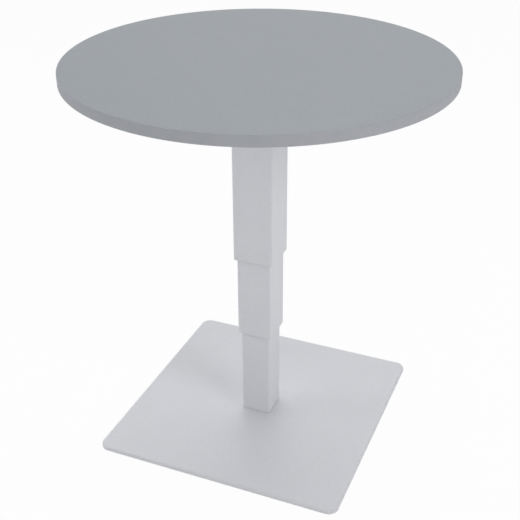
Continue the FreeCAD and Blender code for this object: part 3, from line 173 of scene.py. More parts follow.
def make_floor():
    """A white studio floor. Part of its light is its own, so it stays white near the table.

    From below it is clear, so the underside of the table can be looked at.
    """
    bm = bmesh.new()
    bmesh.ops.create_grid(bm, x_segments=1, y_segments=1, size=FLOOR_REACH)
    mesh = bpy.data.meshes.new("floor")
    bm.to_mesh(mesh)
    bm.free()
    floor = bpy.data.objects.new("floor", mesh)
    bpy.context.scene.collection.objects.link(floor)
    material = bpy.data.materials.new("studio_floor")
    material.use_nodes = True
    tree = material.node_tree
    tree.nodes.clear()
    path = add(tree, "ShaderNodeLightPath")
    paper = add(tree, "ShaderNodeBsdfDiffuse", inputs={"Color": linear("#f2f2f2")})
    glow = add(tree, "ShaderNodeEmission", inputs={"Color": linear("#ffffff"), "Strength": 1.0})
    share = add(tree, "ShaderNodeMapRange", links={"Value": path.outputs["Is Camera Ray"]},
                inputs={"To Min": FLOOR_GLOW, "To Max": FLOOR_GLOW_SEEN})
    mixed = add(tree, "ShaderNodeMixShader", links={
        0: share.outputs["Result"], 1: paper.outputs[0], 2: glow.outputs[0]})
    one_sided = add(tree, "ShaderNodeMixShader", links={
        0: add(tree, "ShaderNodeNewGeometry").outputs["Backfacing"], 1: mixed.outputs[0],
        2: add(tree, "ShaderNodeBsdfTransparent").outputs[0]})
    add(tree, "ShaderNodeOutputMaterial", links={"Surface": one_sided.outputs[0]})
    mesh.materials.append(material)


make_camera()
make_world()
make_floor()
for light_name, (light_place, light_width, light_power) in LIGHTS.items():
    make_area_light(light_name, light_place, light_width, light_power)
bpy.context.scene.view_settings.view_transform = "Standard"


# ---------------------------------------------------------------- finishes

# Nearly all of a noise pattern lies between these two levels.
NOISE_LOW, NOISE_HIGH = 0.3, 0.7


def start_finish(name, **sockets):
    """A new material with its shader, and the coordinates that its patterns read."""
    material = bpy.data.materials.new(name)
    material.use_nodes = True
    tree = material.node_tree
    tree.nodes.clear()
    shader = add(tree, "ShaderNodeBsdfPrincipled", inputs=sockets)
    add(tree, "ShaderNodeOutputMaterial", links={"Surface": shader.outputs[0]})
    place = add(tree, "ShaderNodeTexCoord").outputs["Object"]
    return material, tree, shader, place


def vary_colour(tree, shader, place, dark, light, patch_mm, detail=2):
    """Let the colour drift between two tints over patches of a size, and return that colour."""
    cloud = add(tree, "ShaderNodeTexNoise", links={"Vector": place},
                inputs={"Scale": 1000 / patch_mm, "Detail": detail, "Roughness": 0.55})
    tint = add(tree, "ShaderNodeValToRGB", links={"Fac": cloud.outputs["Fac"]},
               ramp=((NOISE_LOW, dark), (NOISE_HIGH, light)))
    tree.links.new(tint.outputs["Color"], shader.inputs["Base Color"])
    return tint.outputs["Color"]


def vary_gloss(tree, shader, place, roughness, patch_mm):
    """Let the roughness drift between its two values over patches of a size."""
    cloud = add(tree, "ShaderNodeTexNoise", links={"Vector": place},
                inputs={"Scale": 1000 / patch_mm, "Detail": 3})
    smooth, rough = roughness
    spread = add(tree, "ShaderNodeMapRange", links={"Value": cloud.outputs["Fac"]},
                 inputs={"From Min": NOISE_LOW, "From Max": NOISE_HIGH,
                         "To Min": smooth, "To Max": rough})
    tree.links.new(spread.outputs["Result"], shader.inputs["Roughness"])


def raise_grain(tree, shader, height, depth_mm, strength=1.0):
    """Bump from a pattern, with its real depth."""
    bump = add(tree, "ShaderNodeBump", links={"Height": height},
               inputs={"Distance": depth_mm * MM, "Strength": strength})
    tree.links.new(bump.outputs["Normal"], shader.inputs["Normal"])


def speckle(tree, shader, base, place, dark, light, grain_mm, share):
    """Fine grains of two tints, laid lightly over the colour that a surface already has."""
    grains = add(tree, "ShaderNodeTexVoronoi", links={"Vector": place},
                 inputs={"Scale": 1000 / grain_mm})
    level = add(tree, "ShaderNodeSeparateColor", links={"Color": grains.outputs["Color"]})
    tint = add(tree, "ShaderNodeValToRGB", links={"Fac": level.outputs["Red"]},
               ramp=((0.1, dark), (0.9, light)))
    mixed = add(tree, "ShaderNodeMix", data_type="RGBA", inputs={"Factor": share})
    tree.links.new(base, mixed.inputs["A"])
    tree.links.new(tint.outputs["Color"], mixed.inputs["B"])
    tree.links.new(mixed.outputs["Result"], shader.inputs["Base Color"])


def polyester_powder_coat():
    """Baked polyester powder on steel: satin, light silver grey, with a fine orange peel."""
    material, tree, shader, place = start_finish("satin_polyester_powder_coat", IOR=1.5)
    drift = vary_colour(tree, shader, place, "#d6d7db", "#dadbdf", patch_mm=90)
    speckle(tree, shader, drift, place, "#cdced3", "#e2e3e7", grain_mm=0.9, share=0.4)
    vary_gloss(tree, shader, place, roughness=(0.40, 0.48), patch_mm=40)
    peel_mm = 2.0
    peel = add(tree, "ShaderNodeTexNoise", links={"Vector": place},
               inputs={"Scale": 1000 / peel_mm, "Detail": 2, "Roughness": 0.6})
    raise_grain(tree, shader, peel.outputs["Fac"], depth_mm=0.1, strength=0.7)
    return material


def melamine_laminate():
    """Melamine-faced particle board: matt mid grey with a fine pearl grain."""
    material, tree, shader, place = start_finish(
        "matt_melamine_laminate", IOR=1.5, **{"Specular IOR Level": 0.35})
    drift = vary_colour(tree, shader, place, "#989da2", "#9a9fa4", patch_mm=120)
    speckle(tree, shader, drift, place, "#8c9196", "#a6abb0", grain_mm=0.7, share=0.5)
    vary_gloss(tree, shader, place, roughness=(0.53, 0.57), patch_mm=60)
    pearl_mm = 1.2
    pearl = add(tree, "ShaderNodeTexVoronoi", links={"Vector": place},
                inputs={"Scale": 1000 / pearl_mm})
    raise_grain(tree, shader, pearl.outputs["Distance"], depth_mm=0.06, strength=0.6)
    return material


def extruded_abs_edging():
    """Extruded ABS edging, glued on and buffed: smooth and even, with faint drawing lines."""
    material, tree, shader, place = start_finish(
        "extruded_abs_edging", IOR=1.53, **{"Specular IOR Level": 0.15})
    vary_colour(tree, shader, place, "#a4a6ab", "#a7a9ae", patch_mm=30)
    vary_gloss(tree, shader, place, roughness=(0.55, 0.62), patch_mm=25)
    lines_per_mm, slender = 2.4, 40
    drawn = add(tree, "ShaderNodeMapping", links={"Vector": place},
                inputs={"Scale": (1, 1, slender)})
    lines = add(tree, "ShaderNodeTexNoise", links={"Vector": drawn.outputs["Vector"]},
                inputs={"Scale": 1000 * lines_per_mm / slender, "Detail": 2})
    raise_grain(tree, shader, lines.outputs["Fac"], depth_mm=0.02, strength=0.3)
    return material


def moulded_plastic(name, dark, light, roughness, texture_mm=0.9, depth_mm=0.03, ior=1.53):
    """Injection-moulded plastic with a spark-eroded texture, or a skin as fine as that."""
    material, tree, shader, place = start_finish(name, IOR=ior)
    vary_colour(tree, shader, place, dark, light, patch_mm=25)
    vary_gloss(tree, shader, place, roughness, patch_mm=12)
    texture = add(tree, "ShaderNodeTexVoronoi", links={"Vector": place}, feature="SMOOTH_F1",
                  inputs={"Scale": 1000 / texture_mm})
    raise_grain(tree, shader, texture.outputs["Distance"], depth_mm, strength=0.5)
    return material


def worked_metal(name, dark, light, roughness, stretch=(1, 1, 1), grain_mm=0.8, depth_mm=0.01):
    """Bare metal. Its grain runs along the tool's marks where it is stretched."""
    material, tree, shader, place = start_finish(name, Metallic=1.0)
    vary_colour(tree, shader, place, dark, light, patch_mm=15)
    vary_gloss(tree, shader, place, roughness, patch_mm=8)
    marks = add(tree, "ShaderNodeMapping", links={"Vector": place}, inputs={"Scale": stretch})
    grain = add(tree, "ShaderNodeTexNoise", links={"Vector": marks.outputs["Vector"]},
                inputs={"Scale": 1000 / grain_mm, "Detail": 3})
    raise_grain(tree, shader, grain.outputs["Fac"], depth_mm, strength=0.5)
    return material


def pressed_felt():
    """Pressed wool felt: matt dark grey, with a short tangled nap."""
    material, tree, shader, place = start_finish(
        "pressed_wool_felt", Roughness=0.95, **{"Sheen Weight": 0.4, "Sheen Roughness": 0.5})
    vary_colour(tree, shader, place, "#3c3d40", "#55565a", patch_mm=1.2, detail=6)
    nap_mm = 0.8
    nap = add(tree, "ShaderNodeTexNoise", links={"Vector": place},
              inputs={"Scale": 1000 / nap_mm, "Detail": 6})
    raise_grain(tree, shader, nap.outputs["Fac"], depth_mm=0.3)
    return material


def wound_copper():
    """Enamelled copper wire on steel laminations: fine rings with a warm gloss."""
    material, tree, shader, place = start_finish("enamelled_copper_windings", Metallic=1.0,
                                                 Roughness=0.35)
    wire_mm = 0.6
    # A wave texture with a scale of 1 repeats after this many metres.
    widest_wave = math.pi / 10
    wire = add(tree, "ShaderNodeTexWave", links={"Vector": place}, bands_direction="Z",
               inputs={"Scale": widest_wave * 1000 / wire_mm, "Distortion": 1.0})
    # The colour runs dark in the grooves between the turns and light on their crowns: painted
    # shade between the wires and a painted highlight on each turn.
    tint = add(tree, "ShaderNodeValToRGB", links={"Fac": wire.outputs["Fac"]},
               ramp=((0.2, "#8a4a22"), (0.8, "#c47a42")))
    tree.links.new(tint.outputs["Color"], shader.inputs["Base Color"])
    raise_grain(tree, shader, wire.outputs["Fac"], depth_mm=0.1)
    return material


FINISHES = {
    "painted_steel": polyester_powder_coat(),
    "laminate": melamine_laminate(),
    "edge_plastic": extruded_abs_edging(),
    # zinc-plated steel: bluish, bright, slightly clouded
    "steel": worked_metal("zinc_plated_steel", "#a9adb2", "#bfc3c8", (0.28, 0.40)),
    # die-cast aluminium: dull and pale, with a soft skin
    "aluminium": worked_metal("die_cast_aluminium", "#a4a6a8", "#b5b7b9", (0.45, 0.60),
                              grain_mm=1.5, depth_mm=0.05),
    # turned bronze: warm, with rings from the lathe
    "bronze": worked_metal("turned_bronze", "#a8834a", "#bd9859", (0.25, 0.40),
                           stretch=(1, 1, 12)),
    # acetal: milky white and slightly waxy
    "white_plastic": moulded_plastic("natural_acetal", "#dcdcd6", "#e6e6e0", (0.35, 0.45),
                                     ior=1.48),
    # ABS: dense, even and a little dull
    "black_plastic": moulded_plastic("black_abs", "#19191b", "#212124", (0.42, 0.52)),
    "grey_plastic": moulded_plastic("grey_abs", "#6c6e72", "#74767a", (0.42, 0.52)),
    # PVC jacket and rubber: black, matt, a little dusty
    "black_rubber": moulded_plastic("black_soft_pvc", "#151516", "#1e1e1f", (0.50, 0.65),
                                    texture_mm=0.5, depth_mm=0.01),
    "felt": pressed_felt(),
    # epoxy board under green solder resist: glossy
    "circuit": moulded_plastic("green_solder_resist", "#0d4a28", "#12562f", (0.22, 0.32),
                               texture_mm=2.0, depth_mm=0.01),
    # sintered ferrite: dark grey ceramic with a pressed, dull skin
    "magnet": moulded_plastic("sintered_ferrite", "#2b2b2d", "#353537", (0.55, 0.70)),
    "copper": wound_copper(),
}


def dress_solids():
    """Give every solid of the frame the finish of its slot."""
    for name, solid in frame["nodes"].items():
        solid.data.materials.clear()
        solid.data.materials.append(FINISHES[SLOT_OF[name]])


dress_solids()


# ---------------------------------------------------------------- making pieces

# Points that are closer than the first are one point. A cut leaves nothing as thin as the second.
TOUCHING = 0.001 * MM
SLIVER = 0.005 * MM


def put_up(bm, name, replaced, slot=None, body=None, smooth_angle=None):
    """Turn a finished shape into a piece that stands for the named solids."""
    mesh = bpy.data.meshes.new(name)
    bm.to_mesh(mesh)
    bm.free()
    piece = bpy.data.objects.new(name, mesh)
    bpy.context.scene.collection.objects.link(piece)
    slot = slot or SLOT_OF[replaced[0]]
    mesh.materials.append(FINISHES[slot])
    mesh.shade_smooth()
    if smooth_angle:
        mesh.set_sharp_from_angle(angle=math.radians(smooth_angle))
    weighted = piece.modifiers.new("even_shading", "WEIGHTED_NORMAL")
    weighted.keep_sharp = True
    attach(piece, body or BODY_OF[replaced[0]])
    if replaced:
        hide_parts(*replaced)


def in_mm(profile):
    """A profile given in millimetres, in metres."""
    return [(radius * MM, along * MM) for radius, along in profile]


def quarter(centre, radius, start):
    """Points of a quarter arc of a profile, from a start angle in degrees."""
    steps = 5
    angles = [math.radians(start + 90 * i / steps) for i in range(steps + 1)]
    return [(centre[0] + radius * math.cos(a), centre[1] + radius * math.sin(a)) for a in angles]


def outward(heading, reach, level):
    """A place at a distance from the column's axis, in a direction given in degrees."""
    angle = math.radians(heading)
    return (reach * math.cos(angle), reach * math.sin(angle), level)


def square_places(reach, level):
    """Four places at the corners of a square about the column's axis."""
    return [(x, y, level) for x in (-reach, reach) for y in (-reach, reach)]


def middle_x(node):
    """Half-way between a node's ends along X."""
    low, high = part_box(node)
    return (low.x + high.x) / 2


def move(bm, offset, verts=None):
    """Shift a shape, or some of its points."""
    bmesh.ops.translate(bm, vec=offset, verts=verts or bm.verts[:])


def turn(bm, degrees, axis="Z", verts=None):
    """Turn a shape, or some of its points, about an axis through the origin."""
    matrix = Matrix.Rotation(math.radians(degrees), 3, axis)
    bmesh.ops.rotate(bm, cent=(0, 0, 0), matrix=matrix, verts=verts or bm.verts[:])


def block(width, length, height, centre):
    """A plain block about its centre."""
    bm = bmesh.new()
    bmesh.ops.create_cube(bm, size=1)
    bmesh.ops.scale(bm, vec=(width, length, height), verts=bm.verts)
    move(bm, centre)
    return bm


def face_outward(bm):
    """Turn every face of a closed shape to the outside."""
    bmesh.ops.recalc_face_normals(bm, faces=bm.faces)


def lift_faces(bm, faces, height):
    """Extrude faces upward."""
    made = bmesh.ops.extrude_face_region(bm, geom=faces)["geom"]
    move(bm, (0, 0, height), [v for v in made if isinstance(v, bmesh.types.BMVert)])


def round_edges(bm, edges, width, steps=3):
    """Round edges off to a radius."""
    bmesh.ops.bevel(bm, geom=edges, affect="EDGES", offset=width, segments=steps, profile=0.5,
                    material=-1, clamp_overlap=True)


def rim_edges(bm, level):
    """The edges that lie at one height and border a wall."""
    return [
        e for e in bm.edges
        if all(abs(v.co.z - level) < TOUCHING for v in e.verts) and len(e.link_faces) == 2
        and e.calc_face_angle() > math.radians(30)
    ]


def rounded_rectangle(width, length, corner, steps):
    """A flat rectangle about the origin with round corners."""
    bm = bmesh.new()
    bmesh.ops.create_grid(bm, x_segments=1, y_segments=1, size=0.5)
    bmesh.ops.scale(bm, vec=(width, length, 1), verts=bm.verts)
    bmesh.ops.bevel(bm, geom=bm.verts[:], affect="VERTICES", offset=corner, segments=steps,
                    profile=0.5, material=-1)
    return bm


def rounded_slab(width, length, corner, bottom, top, steps=8):
    """A slab with round corners between two heights."""
    bm = rounded_rectangle(width, length, corner, steps)
    lift_faces(bm, bm.faces[:], top - bottom)
    move(bm, (0, 0, bottom))
    face_outward(bm)
    return bm


def spun(profile, steps, axis="Z", centre=(0, 0, 0)):
    """A turned shape: (radius, place along the axis) points spun about the axis."""
    bm = bmesh.new()
    verts = [bm.verts.new((radius, 0, along)) for radius, along in profile]
    edges = [bm.edges.new(pair) for pair in zip(verts, verts[1:])]
    bmesh.ops.spin(bm, geom=verts + edges, cent=(0, 0, 0), axis=(0, 0, 1),
                   angle=2 * math.pi, steps=steps, use_merge=True)
    bmesh.ops.remove_doubles(bm, verts=bm.verts, dist=TOUCHING)
    face_outward(bm)
    if axis == "X":
        turn(bm, 90, "Y")
    elif axis == "Y":
        turn(bm, -90, "X")
    move(bm, centre)
    return bm


def join(*shapes):
    """Several shapes as one."""
    whole = shapes[0]
    for shape in shapes[1:]:
        scratch = bpy.data.meshes.new("scratch")
        shape.to_mesh(scratch)
        shape.free()
        whole.from_mesh(scratch)
        bpy.data.meshes.remove(scratch)
    return whole


def combine(bm, other, operation):
    """Two shapes cut or merged into one, without the slivers that a cut can leave."""
    made = []
    for shape in (bm, other):
        mesh = bpy.data.meshes.new("scratch")
        shape.to_mesh(mesh)
        shape.free()
        scratch = bpy.data.objects.new("scratch", mesh)
        bpy.context.scene.collection.objects.link(scratch)
        made.append(scratch)
    modifier = made[0].modifiers.new("combined", "BOOLEAN")
    modifier.object = made[1]
    modifier.operation = operation
    modifier.solver = "EXACT"
    modifier.use_self = True
    graph = bpy.context.evaluated_depsgraph_get()
    result = bpy.data.meshes.new_from_object(made[0].evaluated_get(graph))
    whole = bmesh.new()
    whole.from_mesh(result)
    bmesh.ops.remove_doubles(whole, verts=whole.verts, dist=SLIVER)
    bmesh.ops.dissolve_degenerate(whole, dist=SLIVER, edges=whole.edges)
    bpy.data.meshes.remove(result)
    for scratch in made:
        mesh = scratch.data
        bpy.data.objects.remove(scratch)
        bpy.data.meshes.remove(mesh)
    return whole


def cut_away(bm, cutter):
    """A shape with another one taken out of it."""
    return combine(bm, cutter, "DIFFERENCE")


def unite(bm, other):
    """Two shapes that overlap, as one skin."""
    return combine(bm, other, "UNION")


def repeated(bm, places, turn_step=0):
    """Copies of a shape at several places, each turned a little further than the last."""
    scratch = bpy.data.meshes.new("scratch")
    bm.to_mesh(scratch)
    bm.free()
    whole = bmesh.new()
    for number, place in enumerate(places):
        known = set(whole.verts)
        whole.from_mesh(scratch)
        fresh = [v for v in whole.verts if v not in known]
        turn(whole, number * turn_step, verts=fresh)
        move(whole, place, fresh)
    bpy.data.meshes.remove(scratch)
    return whole


def softened(node, width_mm):
    """A copy of a solid with its sharp edges softened, as moulding leaves them."""
    bm = bmesh.new()
    bm.from_mesh(frame["nodes"][node].data)
    bmesh.ops.remove_doubles(bm, verts=bm.verts, dist=2 * TOUCHING)
    bmesh.ops.dissolve_limit(bm, angle_limit=math.radians(1), verts=bm.verts, edges=bm.edges)
    sharp = [
        e for e in bm.edges if len(e.link_faces) == 2 and e.calc_face_angle() > math.radians(35)
    ]
    round_edges(bm, sharp, width_mm * MM, steps=2)
    return bm


# ---------------------------------------------------------------- tabletop

BOARD_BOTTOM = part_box("tabletop_board")[0].z
BOARD_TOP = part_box("tabletop_board")[1].z
BOARD_RADIUS = (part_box("tabletop_board")[1].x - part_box("tabletop_board")[0].x) / 2
RIM_STEPS = 288
EASED = 0.08 * MM


def make_tabletop():
    """Board with laminate on both faces, a hair clear of its edging."""
    glue_gap = 0.05 * MM
    board = bmesh.new()
    bmesh.ops.create_circle(board, cap_ends=True, segments=RIM_STEPS,
                            radius=BOARD_RADIUS - glue_gap)
    move(board, (0, 0, BOARD_BOTTOM))
    lift_faces(board, board.faces[:], BOARD_TOP - BOARD_BOTTOM)
    face_outward(board)
    round_edges(board, rim_edges(board, BOARD_TOP) + rim_edges(board, BOARD_BOTTOM), EASED, 1)
    put_up(board, "tabletop", ["tabletop_board"])


def make_edging():
    """Edging glued round the board, its outer edges rounded and its inner edges eased."""
    low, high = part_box("edge_band")
    inside, outside = BOARD_RADIUS, (high.x - low.x) / 2
    upper, lower = 1.2 * MM, 0.6 * MM
    profile = [(inside + EASED, low.z)]
    profile += quarter((outside - lower, low.z + lower), lower, -90)
    profile += quarter((outside - upper, high.z - upper), upper, 0)
    profile += [(inside + EASED, high.z), (inside, high.z - EASED), (inside, low.z + EASED)]
    profile.append(profile[0])
    put_up(spun(profile, steps=RIM_STEPS), "tabletop_edging", ["edge_band"])


make_tabletop()
make_edging()


# ---------------------------------------------------------------- column and base plate

MOTOR_AXIS = (0, 25 * MM, 712 * MM)
TUBE_WALL = 2 * MM
TUBE_CORNER = 3 * MM
FOOT_SCREW_REACH = 17 * MM


def tube_shape(node, clearance=0):
    """A square tube with rounded corners, its cut ends deburred. It may end clear of its seat."""
    low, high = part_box(node)
    side = high.x - low.x
    bottom = low.z + clearance
    bm = rounded_rectangle(side, side, TUBE_CORNER, steps=6)
    bmesh.ops.inset_region(bm, faces=bm.faces[:], thickness=TUBE_WALL, use_boundary=True,
                           use_even_offset=True)
    inner = min(bm.faces, key=lambda face: face.calc_center_median().length)
    bmesh.ops.delete(bm, geom=[inner], context="FACES")
    lift_faces(bm, bm.faces[:], high.z - bottom)
    move(bm, (0, 0, bottom))
    face_outward(bm)
    round_edges(bm, rim_edges(bm, bottom) + rim_edges(bm, high.z), 0.9 * MM)
    return bm


def make_tubes():
    """The three tubes of the column. The thickest one is slotted at its top for the motor.

    The foot block carries the thinnest one a hair above the plate.
    """
    for node, clearance in (("inner_tube", 0.4 * MM), ("middle_tube", 0)):
        put_up(tube_shape(node, clearance), node + "_coated", [node])
    depth, width, height = 20 * MM, 23 * MM, 50 * MM
    middle, bottom = -42 * MM, 700.5 * MM
    slot = block(depth, width, height, (middle, MOTOR_AXIS[1], bottom + height / 2))
    put_up(cut_away(tube_shape("outer_tube"), slot), "outer_tube_coated", ["outer_tube"],
           smooth_angle=35)


def make_base_plate():
    """Thick steel plate, its corners round and its upper edge softened, drilled from below."""
    low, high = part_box("base_plate")
    corner, upper, lower = 20 * MM, 3 * MM, 0.8 * MM
    bm = rounded_slab(high.x - low.x, high.y - low.y, corner, low.z, high.z, steps=14)
    round_edges(bm, rim_edges(bm, high.z), upper, steps=6)
    round_edges(bm, rim_edges(bm, low.z), lower)
    bore = spun(in_mm([(0, -1), (8, -1), (8, 0), (4.1, 4), (4.1, 9), (0, 9)]), steps=32)
    holes = repeated(bore, square_places(FOOT_SCREW_REACH, low.z))
    put_up(cut_away(bm, holes), "base_plate_coated", ["base_plate"], smooth_angle=30)


make_tubes()
make_base_plate()


# ---------------------------------------------------------------- under the top

ARM_HEADINGS = {
    "support_arm_back_right": 45,
    "support_arm_back_left": 135,
    "support_arm_front_left": 225,
    "support_arm_front_right": 315,
}
ARM_START, ARM_END = 80 * MM, 300 * MM
ARM_SHEET = 2 * MM
EAR_THICKNESS = 3 * MM
BOX_X = middle_x("control_box_cover")
HANDSET_X = middle_x("handset_cover")


def make_arm(node, heading):
    """Arm pressed from sheet: a channel, open below, its folds rounded, shallower at its tip."""
    width, deep, shallow, fold = 30 * MM, 18 * MM, 8 * MM, 3 * MM
    middle, mid_level = (ARM_START + ARM_END) / 2, BOARD_BOTTOM - deep / 2
    bm = block(ARM_END - ARM_START, width, deep, (middle, 0, mid_level))
    tip = [v for v in bm.verts if v.co.x > middle and v.co.z < mid_level]
    move(bm, (0, 0, deep - shallow), tip)
    below = min(bm.faces, key=lambda face: face.calc_center_median().z)
    folds = [edge for edge in bm.edges if edge not in below.edges[:]]
    bmesh.ops.delete(bm, geom=[below], context="FACES_ONLY")
    round_edges(bm, folds, fold, steps=4)
    face_outward(bm)
    bmesh.ops.solidify(bm, geom=bm.faces[:], thickness=ARM_SHEET)
    turn(bm, heading)
    put_up(bm, node + "_pressed", [node], smooth_angle=40)


def make_top_plate():
    """Plate that closes the column, its edges broken and its corners rounded."""
    low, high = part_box("column_top_plate")
    side = (high.x - low.x) / math.sqrt(2)
    corner, broken = 5 * MM, 0.5 * MM
    bm = rounded_slab(side, side, corner, low.z, high.z)
    turn(bm, 45)
    round_edges(bm, rim_edges(bm, low.z) + rim_edges(bm, high.z), broken, steps=2)
    put_up(bm, "column_top_plate_coated", ["column_top_plate"])


def weld_bead(length, heading, place):
    """Fillet weld with the ripples of its passes, sunk in the corner that it fills."""
    radius, ripple = 2.8 * MM, 1.3 * MM
    tapered_end, groove = 0.55, 0.86
    passes = round(length / ripple)
    bm = bmesh.new()
    bmesh.ops.create_cone(bm, cap_ends=True, segments=14, radius1=radius, radius2=radius,
                          depth=length)
    seams = [e for e in bm.edges if abs(e.verts[0].co.z - e.verts[1].co.z) > length / 2]
    bmesh.ops.subdivide_edges(bm, edges=seams, cuts=passes - 1)
    for number in range(passes + 1):
        level = length * (number / passes - 0.5)
        ring = [v for v in bm.verts if abs(v.co.z - level) < 0.1 * MM]
        width = 1 if number % 2 else groove
        if number in (0, passes):
            width = tapered_end
        bmesh.ops.scale(bm, vec=(width, width, 1), verts=ring)
    turn(bm, 90, "X")
    turn(bm, heading)
    move(bm, place)
    return bm


def make_welds():
    """Beads between the outer tube, the plate on it and the four arms."""
    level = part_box("column_top_plate")[0].z
    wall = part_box("outer_tube")[1].x
    along_wall, across_arm = 60 * MM, 28 * MM
    beside_motor, off_centre = 44 * MM, -14 * MM
    beads = [
        weld_bead(along_wall, 0, (wall, 0, level)),
        weld_bead(beside_motor, 0, (-wall, off_centre, level)),
        weld_bead(along_wall, 90, (0, wall, level)),
        weld_bead(along_wall, 90, (0, -wall, level)),
    ]
    for heading in ARM_HEADINGS.values():
        beads.append(weld_bead(across_arm, heading, outward(heading, ARM_START, level)))
    put_up(join(*beads), "weld_beads", [], slot="painted_steel", body="top", smooth_angle=60)


def pan_head(radius, height):
    """Pan head of a cross-recess screw. It hangs from its seat at the origin."""
    rim, dome, dome_width = 0.45 * height, 0.55 * height, 0.56 * height
    profile = [(0, 0), (radius, 0), (radius, -rim)]
    for angle in (30, 60, 90):
        inward = 1 - math.cos(math.radians(angle))
        downward = math.sin(math.radians(angle))
        profile.append((radius - dome_width * inward, -rim - dome * downward))
    profile.append((0, -height))
    head = spun(profile, steps=28)
    wing_length, wing_width, wing_height = 1.15 * radius, 0.26 * radius, 1.2 * height
    taper = (0.45, 0.8, 1)
    recess = bmesh.new()
    for quarter_turn in (0, 90):
        wing = block(wing_length, wing_width, wing_height, (0, 0, 0))
        deep = [v for v in wing.verts if v.co.z > 0]
        bmesh.ops.scale(wing, vec=taper, verts=deep)
        turn(wing, quarter_turn)
        move(wing, (0, 0, -height))
        recess = join(recess, wing)
    return cut_away(head, recess)


def wood_screw_places():
    """The seat of each screw into the board, in the arms and in the ears of both housings."""
    inner_reach, outer_reach = 170 * MM, 280 * MM
    box_ear, handset_ear = 88 * MM, 62 * MM
    places = [
        outward(heading, reach, BOARD_BOTTOM - ARM_SHEET)
        for heading in ARM_HEADINGS.values() for reach in (inner_reach, outer_reach)
    ]
    for side in (1, -1):
        places.append((BOX_X, side * box_ear, BOARD_BOTTOM - EAR_THICKNESS))
        places.append((HANDSET_X, side * handset_ear, BOARD_BOTTOM - EAR_THICKNESS))
    return places


def cover_screw_places():
    """The seat of each small screw in the two covers."""
    box_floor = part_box("control_box_cover")[0].z
    handset_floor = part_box("handset_cover")[0].z
    box_across, box_along = 28 * MM, 73 * MM
    handset_across, handset_along = 21 * MM, 48 * MM
    places = []
    for side_x in (1, -1):
        for side_y in (1, -1):
            places.append((BOX_X + side_x * box_across, side_y * box_along, box_floor))
            places.append((HANDSET_X + side_x * handset_across, side_y * handset_along,
                           handset_floor))
    return places


def make_screws():
    """Heads of the screws under the top, and the countersunk screws up through the plate."""
    wood_head = pan_head(4 * MM, 2.5 * MM)
    put_up(repeated(wood_head, wood_screw_places(), turn_step=37), "wood_screw_heads",
           ["wood_screws"], smooth_angle=35)
    cover_head = pan_head(2.8 * MM, 2 * MM)
    put_up(repeated(cover_head, cover_screw_places(), turn_step=53), "cover_screw_heads",
           ["cover_screws"], smooth_angle=35)
    shank = spun(in_mm([(0, 0), (7.6, 0), (8, 0.3), (4, 4), (4, 21), (3.4, 22), (0, 22)]),
                 steps=32)
    key_radius, key_depth = 2.9 * MM, 2.5 * MM
    socket = bmesh.new()
    bmesh.ops.create_cone(socket, cap_ends=True, segments=6, radius1=key_radius,
                          radius2=key_radius, depth=2 * key_depth)
    places = square_places(FOOT_SCREW_REACH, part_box("foot_screws")[0].z)
    put_up(repeated(cut_away(shank, socket), places, turn_step=23), "foot_screws_plated",
           ["foot_screws"], smooth_angle=35)


def make_floor_pads():
    """Felt discs under the corners of the plate."""
    low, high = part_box("floor_pads")
    radius, height = 20 * MM, high.z - low.z
    eased_in, eased_up = 0.4 * MM, 0.5 * MM
    profile = [(0, 0), (radius - eased_in, 0), (radius, eased_up), (radius, height), (0, height)]
    places = square_places(high.x - radius, low.z)
    put_up(repeated(spun(profile, steps=48), places), "felt_pads", ["floor_pads"],
           smooth_angle=50)


for arm_node, arm_heading in ARM_HEADINGS.items():
    make_arm(arm_node, arm_heading)
make_top_plate()
make_welds()
make_screws()
make_floor_pads()


# ---------------------------------------------------------------- motor

def make_motor():
    """Drawn steel can with a rolled bead near its mouth, and the end cap in that mouth."""
    can = in_mm([(3.3, -46), (18.6, -46)])
    can += quarter((18.5 * MM, -47.5 * MM), 1.5 * MM, 0)[::-1]
    can += in_mm([(20, -110.4), (19.5, -111), (19.5, -112), (20, -112.6), (20, -116),
                  (18.5, -116), (18.5, -48), (3.3, -48), (3.3, -46)])
    put_up(spun(can, 72, "X", MOTOR_AXIS), "motor_can_drawn", ["motor_can"], smooth_angle=35)
    cap = in_mm([(0, -122), (2.65, -122), (2.65, -128), (4.2, -128), (4.8, -127.4), (5, -124),
                 (5.6, -122.6), (7, -122), (16.5, -122), (17, -121.5), (17.5, -122),
                 (18.6, -122), (19.6, -121.6), (20, -120.6), (20, -116), (18.4, -116),
                 (18.4, -114), (6, -114), (6, -110), (3.06, -110), (3.06, -116), (0, -116)])
    put_up(spun(cap, 72, "X", MOTOR_AXIS), "motor_end_cap_moulded", ["motor_end_cap"],
           smooth_angle=35)


make_motor()


# ---------------------------------------------------------------- control box and handset

# Points of the leads' routes, in millimetres.
MOTOR_LEAD_ROUTE = [(-122, 25, 712), (-129, 25, 712), (-135, 25, 712), (-149, 25, 720),
                    (-164, 25, 720)]
HANDSET_LEAD_ROUTE = [(-290, 50, 733), (-290, 80, 733), (-290, 104, 733), (-268.6, 134.4, 733),
                      (-234, 145.7, 733), (-199.4, 134.4, 733), (-178, 105, 733),
                      (-178, 92, 733), (-178, 74, 733)]
LEAD_RADIUS = 2.5 * MM


def make_housings():
    """Moulded covers, housings and clips, their edges softened."""
    for node, width_mm in (
        ("control_box_base", 0.35), ("control_box_cover", 0.35),
        ("handset_housing", 0.5), ("handset_cover", 0.35), ("lead_clips", 0.6),
    ):
        put_up(softened(node, width_mm), node + "_moulded", [node], smooth_angle=40)


